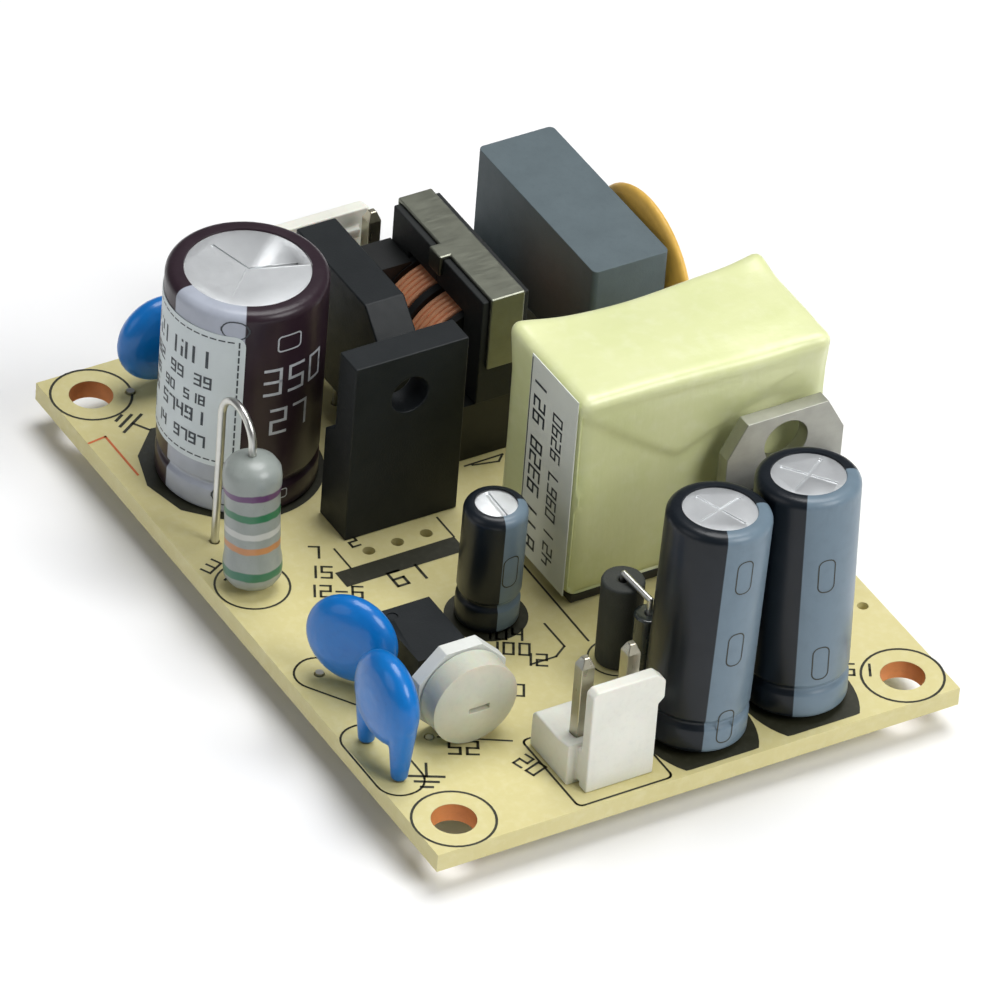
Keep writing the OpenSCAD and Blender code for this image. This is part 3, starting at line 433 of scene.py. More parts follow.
COPPER = moulded("enamelled_copper", (0.86, 0.38, 0.20), 0.30, 0.5, 0.01, Metallic=0.35,
                 Coat_Weight=0.5, Coat_Roughness=0.1).material
FILM = moulded("yellow_film", (0.42, 0.45, 0.10), 0.25).material
CLIP = drawn_metal("spring_steel", (0.30, 0.31, 0.25), 0.36, (1, 0.15, 1)).material
LINE_CASE = moulded("grey_case", (0.095, 0.125, 0.138), 0.58, 0.35, 0.03,
                    Specular_IOR_Level=0.3).material
SURGE = moulded("ochre_coating", (0.66, 0.40, 0.075), 0.40, 0.5).material
FUSE = moulded("fuse_case", (0.030, 0.022, 0.016), 0.40).material
TAPE = tape_finish().material
TAPE_BASE = moulded("transformer_base", (0.020, 0.020, 0.018), 0.45).material
TRAFO_LABEL = paper_finish("grey_paper", (0.74, 0.77, 0.70)).material
TAB = drawn_metal("rectifier_tab", (0.40, 0.40, 0.36), 0.42, (1, 0.2, 1)).material
WHITE_PLATE = moulded("white_plate", (0.68, 0.70, 0.66), 0.40).material
DIAL = moulded("milky_dial", (0.56, 0.57, 0.47), 0.32, 0.3, 0.02, Subsurface_Weight=0.4,
               Subsurface_Scale=0.0015, Coat_Weight=0.2).material
BEAD = moulded("bead_ferrite", (0.030, 0.034, 0.030), 0.66, 0.4, 0.05).material
DIODE = moulded("diode_glass", (0.018, 0.024, 0.022), 0.22, 0.3, 0.0, Coat_Weight=0.5).material
LABEL = paper_finish("white_paper", (0.62, 0.68, 0.69)).material


# ---------------------------------------------------------------- plain dressing

EASED = {
    "input_housing": (NYLON, 0.16), "output_housing": (NYLON, 0.16),
    "input_pins": (PIN_METAL, 0.08), "output_pins": (PIN_METAL, 0.08),
    "choke_core_rear": (FERRITE, 0.12), "choke_core_front": (FERRITE, 0.12),
    "choke_bobbin": (BOBBIN, 0.08), "choke_film": (FILM, 0.01), "choke_clip": (CLIP, 0.14),
    "line_capacitor": (LINE_CASE, 0.14), "fuse": (FUSE, 0.25),
    "bridge_rectifier": (BLACK_EPOXY, 0.14), "switch_transistor": (BLACK_EPOXY, 0.12),
    "control_chip": (BLACK_EPOXY, 0.06), "transformer_base": (TAPE_BASE, 0.12),
    "rectifier_tab": (TAB, 0.07), "rectifier_body": (BLACK_EPOXY, 0.16),
    "optocoupler": (BLACK_EPOXY, 0.10), "optocoupler_legs": (TIN, 0.03),
    "trimmer_base": (WHITE_PLATE, 0.10), "ferrite_bead": (BEAD, 0.25),
    "output_diode": (DIODE, 0.20),
    "bulk_capacitor": (CAN_TOP, 0.05), "small_capacitor": (CAN_TOP, 0.05),
    "output_capacitor_left": (CAN_TOP, 0.05), "output_capacitor_right": (CAN_TOP, 0.05),
    "component_leads": (TIN, 0.0), "solder_joints": (SOLDER, 0.0),
    "resistor_lead": (TIN, 0.0), "diode_lead": (TIN, 0.0),
}
DIPPED = {
    "surge_disc": SURGE, "disc_capacitor_input": BLUE,
    "disc_capacitor_left": BLUE, "disc_capacitor_right": BLUE,
}


def dress_nodes():
    for node, (finish, width) in EASED.items():
        mesh = eased(node, width) if width else from_bmesh(node + "_smooth", merged(node))
        new_piece(node + "_dressed", mesh, finish, stands_for=[node])
    for node, finish in DIPPED.items():
        new_piece(node + "_dressed", dipped(node), finish, stands_for=[node])
    new_piece("trimmer_dial_dressed", eased("trimmer_dial", 0.10), DIAL, body="dial",
              stands_for=["trimmer_dial"])
    NODES["circuit_board"].data.materials.clear()
    NODES["circuit_board"].data.materials.append(LAMINATE)


# ---------------------------------------------------------------- round cans

SEAM = 147.0        # compass angle of the sleeve seam, away from the viewing side


def can_frame(node):
    """The place, radius and height of a round can from its CAD node. The matrix turns local
    Z along the can, its origin is the middle of the foot, and local X points to SEAM."""
    spots = np.array([v.co[:] for v in NODES[node].data.vertices])
    spots = np.unique(np.round(spots, 8), axis=0)
    middle = spots.mean(axis=0)
    axis = np.linalg.svd(spots - middle, full_matrices=False)[2][0]
    axis = Vector(axis * np.sign(axis[2]))
    seam = Vector((math.cos(math.radians(SEAM)), math.sin(math.radians(SEAM)), 0))
    side = (seam - axis * seam.dot(axis)).normalized()
    third = axis.cross(side)
    along = (spots - middle) @ np.array(axis)
    foot = Vector(middle) + axis * float(along.min())
    turned = Matrix((side, third, axis)).transposed().to_4x4()
    turned.translation = foot
    local = (spots - np.array(foot)) @ np.array(Matrix((side, third, axis))).T
    radius = float(np.hypot(local[:, 0], local[:, 1]).max())
    return turned, radius / MM, float(along.max() - along.min()) / MM


def turn_of(compass):
    """U of a sleeve's UV map at a compass angle."""
    return ((compass - SEAM) % 360) / 360


def arc_profile(cr, cz, radius, start, end, steps=6):
    return [(cr + radius * math.cos(math.radians(start + (end - start) * i / steps)),
             cz + radius * math.sin(math.radians(start + (end - start) * i / steps)))
            for i in range(steps + 1)]


def sleeve_profile(r, h, lip, crimp_z, crimp_depth, wall=0.15):
    """Outer film of a can: tucked foot, crimped groove, rolled shoulder and top lip."""
    foot = 0.5
    shoulder = 0.75
    groove = [(r - crimp_depth * 0.5 * (1 + math.cos(math.pi * t / 4)), crimp_z + t * 0.14)
              for t in range(-4, 5)]
    points = [(r - 1.1, 0.0)]
    points += arc_profile(r - foot, foot, foot, -90, 0)
    points += groove
    points += arc_profile(r - shoulder, h - shoulder, shoulder, 0, 90)
    points += [(r - shoulder - 0.1, h + 0.02), (r - lip, h), (r - lip - 0.05, h - wall)]
    points += [(r - shoulder, h - wall - 0.05)]
    return points


def wrap(matrix, radius):
    """Maps print coordinates (compass angle in degrees, height in mm) onto a can's wall."""
    def spot(angle, z):
        a = math.radians(angle - SEAM)
        return matrix @ Vector((radius * MM * math.cos(a), radius * MM * math.sin(a), z * MM))
    return spot


def flat_on(origin, along, up):
    """Maps print coordinates in mm onto a plane."""
    start, across, rise = Vector(origin), Vector(along).normalized(), Vector(up).normalized()

    def spot(x, y):
        return start + across * (x * MM) + rise * (y * MM)
    return spot


# ---------------------------------------------------------------- print

class Print:
    """Collects thin printed strokes and fields, mapped onto one surface."""

    def __init__(self, spot, aspect=1.0, step=0.4):
        self.spot, self.aspect, self.step = spot, aspect, step
        self.verts, self.faces = [], []

    def quad_strip(self, left, right):
        first = len(self.verts)
        for a, b in zip(left, right):
            self.verts += [self.spot(*a), self.spot(*b)]
        for i in range(len(left) - 1):
            k = first + 2 * i
            self.faces.append([k, k + 2, k + 3, k + 1])

    def stroke(self, points, width, closed=False):
        """A ribbon of even width; aspect is how many print units of X make one mm."""
        path = [Vector((p[0] / self.aspect, p[1])) for p in points]
        if closed:
            path.append(path[0])
        for a, b in zip(path, path[1:]):
            run = b - a
            if run.length < 1e-6:
                continue
            side = Vector((-run.y, run.x)).normalized() * (width / 2)
            reach = run.normalized() * (width / 2)
            pieces = max(1, int(run.length / self.step))
            line = [a - reach + (run + 2 * reach) * (i / pieces) for i in range(pieces + 1)]
            left = [((p + side).x * self.aspect, (p + side).y) for p in line]
            right = [((p - side).x * self.aspect, (p - side).y) for p in line]
            self.quad_strip(left, right)
        return self

    def arc(self, centre, radius, width, start=0, end=360, steps=40):
        pts = [(centre[0] + radius * math.cos(math.radians(start + (end - start) * i / steps)),
                centre[1] + radius * math.sin(math.radians(start + (end - start) * i / steps)))
               for i in range(steps + 1)]
        left = [(centre[0] + (x - centre[0]) * (1 + width / 2 / radius),
                 centre[1] + (y - centre[1]) * (1 + width / 2 / radius)) for x, y in pts]
        right = [(centre[0] + (x - centre[0]) * (1 - width / 2 / radius),
                  centre[1] + (y - centre[1]) * (1 - width / 2 / radius)) for x, y in pts]
        self.quad_strip(left, right)
        return self

    def field(self, outline):
        first = len(self.verts)
        self.verts += [self.spot(*p) for p in outline]
        self.faces.append(list(range(first, first + len(outline))))
        return self

    def figures(self, digits, start, height, width, gap=0.35, turn=0):
        """Plain numbers from seven straight bars each."""
        w = height * 0.55
        c, s = math.cos(math.radians(turn)), math.sin(math.radians(turn))
        ends = {"a": ((0, 1), (1, 1)), "b": ((1, 1), (1, .5)), "c": ((1, .5), (1, 0)),
                "d": ((1, 0), (0, 0)), "e": ((0, 0), (0, .5)), "f": ((0, .5), (0, 1)),
                "g": ((0, .5), (1, .5))}
        lit = {"0": "abcdef", "1": "bc", "2": "abged", "3": "abgcd", "4": "fgbc",
               "5": "afgcd", "6": "afgedc", "7": "abc", "8": "abcdefg", "9": "gfabcd",
               "-": "g"}
        for k, digit in enumerate(digits):
            for bar in lit.get(digit, ""):
                pts = []
                for x, y in ends[bar]:
                    px, py = k * (w + gap * height) + x * w, y * height
                    pts.append((start[0] + (px * c - py * s) * self.aspect,
                                start[1] + px * s + py * c))
                self.stroke(pts, width)
        return self

    def piece(self, name, finish, stands_for=()):
        mesh = bpy.data.meshes.new(name)
        mesh.from_pydata([tuple(v) for v in self.verts], [], self.faces)
        mesh.validate()
        return new_piece(name, mesh, finish, stands_for=stands_for)


def rounded_box(low, high, radius, aspect=1.0, steps=4):
    """Corner points of a rectangle with round corners, in print units."""
    pts = []
    for cx, cy, start in ((high[0], high[1], 0), (low[0], high[1], 90),
                          (low[0], low[1], 180), (high[0], low[1], 270)):
        mx = cx - math.copysign(radius * aspect, cx - (low[0] + high[0]) / 2)
        my = cy - math.copysign(radius, cy - (low[1] + high[1]) / 2)
        for i in range(steps + 1):
            a = math.radians(start + 90 * i / steps)
            pts.append((mx + radius * aspect * math.cos(a), my + radius * math.sin(a)))
    return pts


# ---------------------------------------------------------------- capacitors

def dress_can(node, sleeve_node, colour, stripe_colour, stripe, lip, marks):
    matrix, radius, height = can_frame(sleeve_node)
    span = (turn_of(stripe[0]), turn_of(stripe[1]))
    finish = sleeve_finish(sleeve_node + "_film", colour, stripe_colour, span, height)
    profile = sleeve_profile(radius, height, lip, 2.6, 0.3)
    new_piece(sleeve_node + "_dressed", spun(sleeve_node, profile, 128, 50, matrix),
              finish.material, stands_for=[sleeve_node])
    aspect = math.degrees(1 / radius)
    on_sleeve = Print(wrap(matrix, radius + 0.015), aspect)
    marks(on_sleeve, stripe, aspect, height)
    return matrix, radius, height


def stripe_boxes(sheet, angle, lows, tall, wide, aspect, width=0.1):
    """Upright round boxes down the stripe of a sleeve."""
    for low in lows:
        outline = rounded_box((angle - wide / 2 * aspect, low), (angle + wide / 2 * aspect, low + tall),
                              wide * 0.42, aspect, 5)
        sheet.stroke(outline, width, closed=True)


def output_marks(name, angles):
    def marks(sheet, stripe, aspect, height):
        for angle, lows in angles:
            stripe_boxes(sheet, angle, lows, 2.9, 1.35, aspect)
        sheet.piece(name, INK)
    return marks


def bulk_marks(sheet, stripe, aspect, height):
    stripe_boxes(sheet, stripe[1] - 7, (1.0, 17.0), 1.6, 2.2, aspect, 0.12)
    sheet.piece("bulk_stripe_print", LABEL_INK)
    matrix, radius, _ = can_frame("bulk_capacitor_sleeve")
    pale = Print(wrap(matrix, radius + 0.015), aspect)
    pale.stroke(rounded_box((-6, height - 3.6), (12, height - 2.2), 0.3, aspect), 0.13, closed=True)
    pale.figures("350", (-14, height - 7.6), 2.3, 0.26)
    pale.figures("27", (-8, height - 11.4), 2.2, 0.26)
    pale.stroke(rounded_box((-12, 1.2), (8, 2.0), 0.2, aspect), 0.1, closed=True)
    pale.piece("bulk_sleeve_print", GREY_INK)


def capacitors():
    plum, navy = (0.022, 0.011, 0.017), (0.0040, 0.0070, 0.0110)
    lavender, steel = (0.40, 0.43, 0.50), (0.15, 0.21, 0.26)
    dress_can("bulk_capacitor", "bulk_capacitor_sleeve", plum, lavender, (-88, -30), 1.4, bulk_marks)
    dress_can("small_capacitor", "small_capacitor_sleeve", navy, steel, (-12, 80), 0.65,
              output_marks("small_sleeve_print", [(6, (4.6,))]))
    dress_can("output_capacitor_left", "output_sleeve_left", navy, steel, (-22, 80), 1.15,
              output_marks("left_sleeve_print", [(2, (0.9, 8.0, 14.6))]))
    dress_can("output_capacitor_right", "output_sleeve_right", navy, steel, (-33, 75), 1.15,
              output_marks("right_sleeve_print", [(-6, (3.6, 11.6))]))


def bulk_label():
    """Paper label wrapped on the bulk capacitor, with a dashed border and lines of marks."""
    matrix, radius, _ = can_frame("bulk_capacitor_sleeve")
    low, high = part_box("bulk_capacitor_label")
    foot = matrix.translation.z
    bottom, top = (low.z - foot) / MM, (high.z - foot) / MM
    left, right = -196.0, -29.0
    r = radius + 0.075
    aspect = math.degrees(1 / r)
    spot = wrap(matrix, r)
    inner = wrap(matrix, radius + 0.01)
    outline = rounded_box((left, bottom), (right, top), 0.9, aspect, 6)
    slices = 60
    columns = sorted({round(x, 3) for x, _ in outline}
                     | {left + (right - left) * i / slices for i in range(slices + 1)})
    verts, faces = [], []

    def edge(x, upper):
        """Height of the label's outline at an angle."""
        near = min(abs(x - left), abs(x - right)) / aspect
        if near >= 0.9:
            return top if upper else bottom
        drop = 0.9 - math.sqrt(max(0.0, 0.81 - (0.9 - near) ** 2))
        return top - drop if upper else bottom + drop

    for x in columns:
        lo, hi = edge(x, False), edge(x, True)
        verts += [spot(x, lo), spot(x, hi), inner(x, lo), inner(x, hi)]
    for i in range(len(columns) - 1):
        a, b = 4 * i, 4 * i + 4
        faces += [[a, b, b + 1, a + 1], [a + 1, b + 1, b + 3, a + 3], [a + 2, b + 2, b, a]]
    last = 4 * (len(columns) - 1)
    faces += [[0, 1, 3, 2], [last, last + 2, last + 3, last + 1]]
    new_piece("bulk_label_dressed", from_lists("bulk_label_dressed", verts, faces, 60), LABEL,
              stands_for=["bulk_capacitor_label"])
    ink = Print(wrap(matrix, r + 0.012), aspect)
    rng = random.Random(7)
    dash, pause, inset = 0.42, 0.30, 0.5
    x = left + inset * aspect * 1.6
    while x < right - inset * aspect * 1.6:
        for y in (bottom + inset, top - inset):
            ink.stroke([(x, y), (x + dash * aspect, y)], 0.13)
        x += (dash + pause) * aspect
    y = bottom + inset * 1.8
    while y < top - inset * 1.8:
        for side in (left + inset * aspect, right - inset * aspect):
            ink.stroke([(side, y), (side, y + dash)], 0.13)
        y += dash + pause
    rows = [(top - 2.7, 1.35, 0.26), (top - 4.9, 0.95, 0.19), (top - 6.7, 0.8, 0.17),
            (top - 8.4, 1.05, 0.22), (top - 10.6, 0.9, 0.2)]
    for base, tall, thick in rows:
        x = right - (2.2 + rng.random()) * aspect
        while x > left + 12:
            word = rng.randint(2, 5)
            digits = "".join(rng.choice("0123456789") for _ in range(word))
            wide = word * tall * 0.9
            ink.figures(digits, (x - wide * aspect, base - tall / 2), tall, thick)
            x -= (wide + 0.9) * aspect
    ink.piece("bulk_label_print", LABEL_INK)


# ---------------------------------------------------------------- windings

def tree(name, sockets):
    """A geometry tree with a geometry output and named inputs."""
    group = bpy.data.node_groups.new(name, "GeometryNodeTree")
    group.interface.new_socket("Geometry", in_out="OUTPUT", socket_type="NodeSocketGeometry")
    for label, kind in sockets:
        group.interface.new_socket(label, in_out="INPUT", socket_type=kind)
    return group


def grown(name, group, values):
    """Evaluates a tree with named input values and keeps the result as a plain mesh."""
    carrier = bpy.data.objects.new(name, bpy.data.meshes.new(name))
    bpy.context.scene.collection.objects.link(carrier)
    step = carrier.modifiers.new("grow", "NODES")
    step.node_group = group
    for item in group.interface.items_tree:
        if item.in_out == "INPUT" and item.name in values:
            step[item.identifier] = values[item.name]
    view = bpy.context.evaluated_depsgraph_get()
    mesh = bpy.data.meshes.new_from_object(carrier.evaluated_get(view), depsgraph=view)
    bpy.data.objects.remove(carrier)
    return mesh


def winding_tree():
    """A close-wound coil about Z: a helix of wire swept along its path."""
    group = tree("coil_of_wire", [("Radius", "NodeSocketFloat"), ("Length", "NodeSocketFloat"),
                                  ("Turns", "NodeSocketFloat"), ("Wire", "NodeSocketFloat"),
                                  ("Finish", "NodeSocketMaterial")])
    nodes, join = group.nodes, group.links.new
    given = nodes.new("NodeGroupInput")
    path = nodes.new("GeometryNodeCurveSpiral")
    path.inputs["Resolution"].default_value = 72
    section = nodes.new("GeometryNodeCurvePrimitiveCircle")
    section.inputs["Resolution"].default_value = 12
    sweep = nodes.new("GeometryNodeCurveToMesh")
    sweep.inputs["Fill Caps"].default_value = True
    smooth = nodes.new("GeometryNodeSetShadeSmooth")
    solid = nodes.new("GeometryNodeRealizeInstances")
    finish = nodes.new("GeometryNodeSetMaterial")
    out = nodes.new("NodeGroupOutput")
    join(given.outputs["Turns"], path.inputs["Rotations"])
    join(given.outputs["Radius"], path.inputs["Start Radius"])
    join(given.outputs["Radius"], path.inputs["End Radius"])
    join(given.outputs["Length"], path.inputs["Height"])
    join(given.outputs["Wire"], section.inputs["Radius"])
    join(path.outputs["Curve"], sweep.inputs["Curve"])
    join(section.outputs["Curve"], sweep.inputs["Profile Curve"])
    join(sweep.outputs["Mesh"], smooth.inputs["Geometry"])
    join(smooth.outputs["Geometry"], solid.inputs["Geometry"])
    join(solid.outputs["Geometry"], finish.inputs["Geometry"])
    join(given.outputs["Finish"], finish.inputs["Material"])
    join(finish.outputs["Geometry"], out.inputs["Geometry"])
    return group


def windings():
    coil = winding_tree()
    for node in ("choke_winding_rear", "choke_winding_front"):
        low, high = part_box(node)
        centre = (low + high) / 2
        radius = (high.z - low.z) / 2
        width = high.x - low.x
        turns = 5
        wire = width / (2 * turns + 2)
        mesh = grown(node + "_turns", coil, {"Radius": radius - wire, "Length": width - 2 * wire,
                                             "Turns": float(turns), "Wire": wire, "Finish": COPPER})
        along_x = Matrix.Rotation(math.radians(90), 4, "Y")
        mesh.transform(Matrix.Translation((low.x + wire, centre.y, centre.z)) @ along_x)
        shade(mesh, 180)
        core = spun(node + "_under", [(0.5, 0.02), (radius / MM - 1.5 * wire / MM, 0.02),
                                      (radius / MM - 1.5 * wire / MM, width / MM - 0.02),
                                      (0.5, width / MM - 0.02)], 64)
        core.transform(Matrix.Translation((low.x, centre.y, centre.z)) @ along_x)
        new_piece(node + "_dressed", mesh, COPPER, stands_for=[node])
        new_piece(node + "_layer", core, COPPER, stands_for=[node])


# ---------------------------------------------------------------- transformer

def transformer_block():
    """The taped winding: a soft-edged block whose tape folds over the output end."""
    low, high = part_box("transformer")
    size = high - low
    cells = (26, 50, 42)
    bm = bmesh.new()
    bmesh.ops.create_cube(bm, size=1)
    for v in bm.verts:
        v.co = Vector((low.x + (v.co.x + .5) * size.x, low.y + (v.co.y + .5) * size.y,
                       low.z + (v.co.z + .5) * size.z))
    for axis in range(3):
        for k in range(1, cells[axis]):
            at = low[axis] + size[axis] * k / cells[axis]
            normal = [0, 0, 0]
            normal[axis] = 1
            spot = [0, 0, 0]
            spot[axis] = at
            bmesh.ops.bisect_plane(bm, geom=bm.verts[:] + bm.edges[:] + bm.faces[:], plane_co=spot,
                                   plane_no=normal, dist=1e-7)
    centre = (low + high) / 2
    half = size / 2
    rounding = 1.0 * MM
    rng = random.Random(3)
    swell = [(rng.uniform(-1, 1), rng.uniform(0.15, 0.5), rng.uniform(0, 6.3)) for _ in range(8)]
    for v in bm.verts:
        local = v.co - centre
        core = Vector([max(-half[i] + rounding, min(half[i] - rounding, local[i])) for i in range(3)])
        out = local - core
        if out.length > 1e-9:
            local = core + out.normalized() * min(rounding, max(abs(c) for c in out))
        y, z = local.y / MM, local.z / MM
        ripple = sum(a * math.sin(f * (y * 0.9 + z * 1.3 * a) + p) for a, f, p in swell) * 0.02
        inward = -local.normalized() * MM
        v.co = centre + local + inward * (0.10 + ripple)
        if v.co.x > high.x - 0.35 * MM:
            v.co.x += fold_depth((v.co.y - low.y) / size.y, (v.co.z - low.z) / size.z) * MM
        v.co += tape_gather((v.co.x - low.x) / size.x, (v.co.y - low.y) / size.y,
                            (v.co.z - low.z) / size.z) * MM
    return from_bmesh("transformer_tape_block", bm, 45)


def tape_gather(across, along, up):
    """Move in mm where the tape bunches at the top corners and sags between them; the three
    places run from 0 to 1 along X, Y and Z."""
    def near(place, middle, reach):
        return math.exp(-((place - middle) / reach) ** 2)
    top = max(0.0, (up - 0.8) / 0.2)
    bump = near(across, 0.0, 0.16) * near(along, 0.0, 0.14) * top
    ear = near(across, 0.05, 0.14) * near(along, 1.0, 0.10) * top
    far_ear = near(across, 1.0, 0.10) * near(along, 0.97, 0.08) * top
    sag = near(across, 0.0, 0.35) * near(along, 0.45, 0.28) * top
    edge = near(across, 1.0, 0.22) * near(along, 0.75, 0.30) * top
    return Vector((-0.45 * bump + 0.5 * far_ear, -0.2 * bump,
                   0.5 * bump + 0.6 * ear + 0.2 * far_ear - 0.6 * sag - 0.5 * edge))


def fold_depth(along, up):
    """Sink of the output face below its folded flap, in mm: the flap comes down from the top
    to a shallow V, with a second flap over the far end."""
    tip = 0.40
    lower = 0.58 + 0.34 * (abs(along - tip) / (tip if along < tip else 1 - tip)) ** 1.1
    on_flap = max(0.0, min(1.0, (up - lower) / 0.025))
    far = max(0.0, min(1.0, (along - (0.80 - 0.25 * up)) / 0.025))
    crease = math.exp(-((up - 0.93 + 0.05 * along) / 0.02) ** 2)
    hollow = 0.12 * math.exp(-((along - 0.72) / 0.16) ** 2 - ((up - 0.62) / 0.18) ** 2)
    return -0.34 + 0.30 * on_flap + 0.16 * far * (1 - on_flap) - 0.10 * crease * on_flap - hollow


def transformer():
    new_piece("transformer_dressed", transformer_block(), TAPE, stands_for=["transformer"])
    low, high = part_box("transformer_label")
    tall = (high.z - low.z) / MM
    paper = from_lists("transformer_label_dressed", *prism([(low.x, low.y), (high.x, low.y),
                       (high.x, high.y), (low.x, high.y)], low.z, high.z))
    new_piece("transformer_label_dressed", paper, TRAFO_LABEL, stands_for=["transformer_label"])
    ink = Print(flat_on((low.x, low.y - 0.012 * MM, low.z), (1, 0, 0), (0, 0, 1)))
    rng = random.Random(11)
    for x, height, thick in ((2.3, 1.5, 0.24), (4.9, 1.25, 0.2)):
        y = 1.2
        while y < tall - 2.5:
            count = rng.randint(2, 4)
            digits = "".join(rng.choice("0123456789") for _ in range(count))
            ink.figures(digits, (x, y), height, thick, turn=90)
            y += count * height * 0.95 + 0.9
    # Painted shade: this thin dark line along the label's left edge stands for the shade at that edge;
    # the figures above it are print.
    ink.stroke([(0.12, 0.3), (0.12, tall - 0.3)], 0.12)
    ink.piece("transformer_label_print_and_edge_shade", LABEL_INK)


# ---------------------------------------------------------------- resistor

def resistor():
    """Lacquered body with colour rings, turned about the leaning axis of the CAD piece."""
    matrix, radius, height = can_frame("damping_resistor")
    bulge, waist = radius, radius - 0.15
    profile = [(0.0, 0.0), (bulge * 0.45, 0.08), (bulge * 0.8, 0.5), (bulge * 0.97, 1.1), (bulge, 1.8),
               (bulge * 0.985, 2.5), (waist, 3.2)]
    profile += [(waist, 3.2 + (height - 6.4) * k / 6) for k in range(1, 6)]
    profile += [(waist, height - 3.2), (bulge * 0.985, height - 2.5), (bulge, height - 1.8),
                (bulge * 0.97, height - 1.1), (bulge * 0.8, height - 0.5),
                (bulge * 0.45, height - 0.08), (0.0, height)]
    rings = [(height - 2.7, 0.30, (0.10, 0.03, 0.12)), (height - 4.5, 0.33, (0.02, 0.16, 0.07)),
             (height - 6.1, 0.26, (0.52, 0.53, 0.50)), (height - 7.4, 0.30, (0.50, 0.22, 0.08)),
             (height - 9.7, 0.36, (0.02, 0.15, 0.08))]
    new_piece("resistor_dressed", spun("resistor_body", profile, 72, 60, matrix),
              resistor_finish(rings).material, stands_for=["damping_resistor"])


# ---------------------------------------------------------------- board print

def mm_box(node):
    low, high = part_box(node)
    return low / MM, high / MM


def plan_spot(x, y):
    return Vector((x * MM, y * MM, BOARD_TOP + 0.02 * MM))


def earth_symbol(ink, x, y, turn):
    c, s = math.cos(math.radians(turn)), math.sin(math.radians(turn))

    def at(u, v):
        return (x + u * c - v * s, y + u * s + v * c)
    ink.stroke([at(0, 1.5), at(0, 0)], 0.22)
    for k, half in enumerate((1.3, 0.85, 0.4)):
        ink.stroke([at(-half, -0.62 * k), at(half, -0.62 * k)], 0.26)


def cap_field(ink, centre, radius, square):
    """Filled ring under a round can with one side squared off."""
    squaring = 1.4
    x, y = centre
    pts = []
    for i in range(48):
        a = 2 * math.pi * i / 48
        px, py = radius * math.cos(a), radius * math.sin(a)
        if square[0] * px > 0:
            px = math.copysign(min(abs(px) * squaring, radius), px)
        if square[1] * py > 0:
            py = math.copysign(min(abs(py) * squaring, radius), py)
        pts.append((x + px, y + py))
    ink.field(pts)


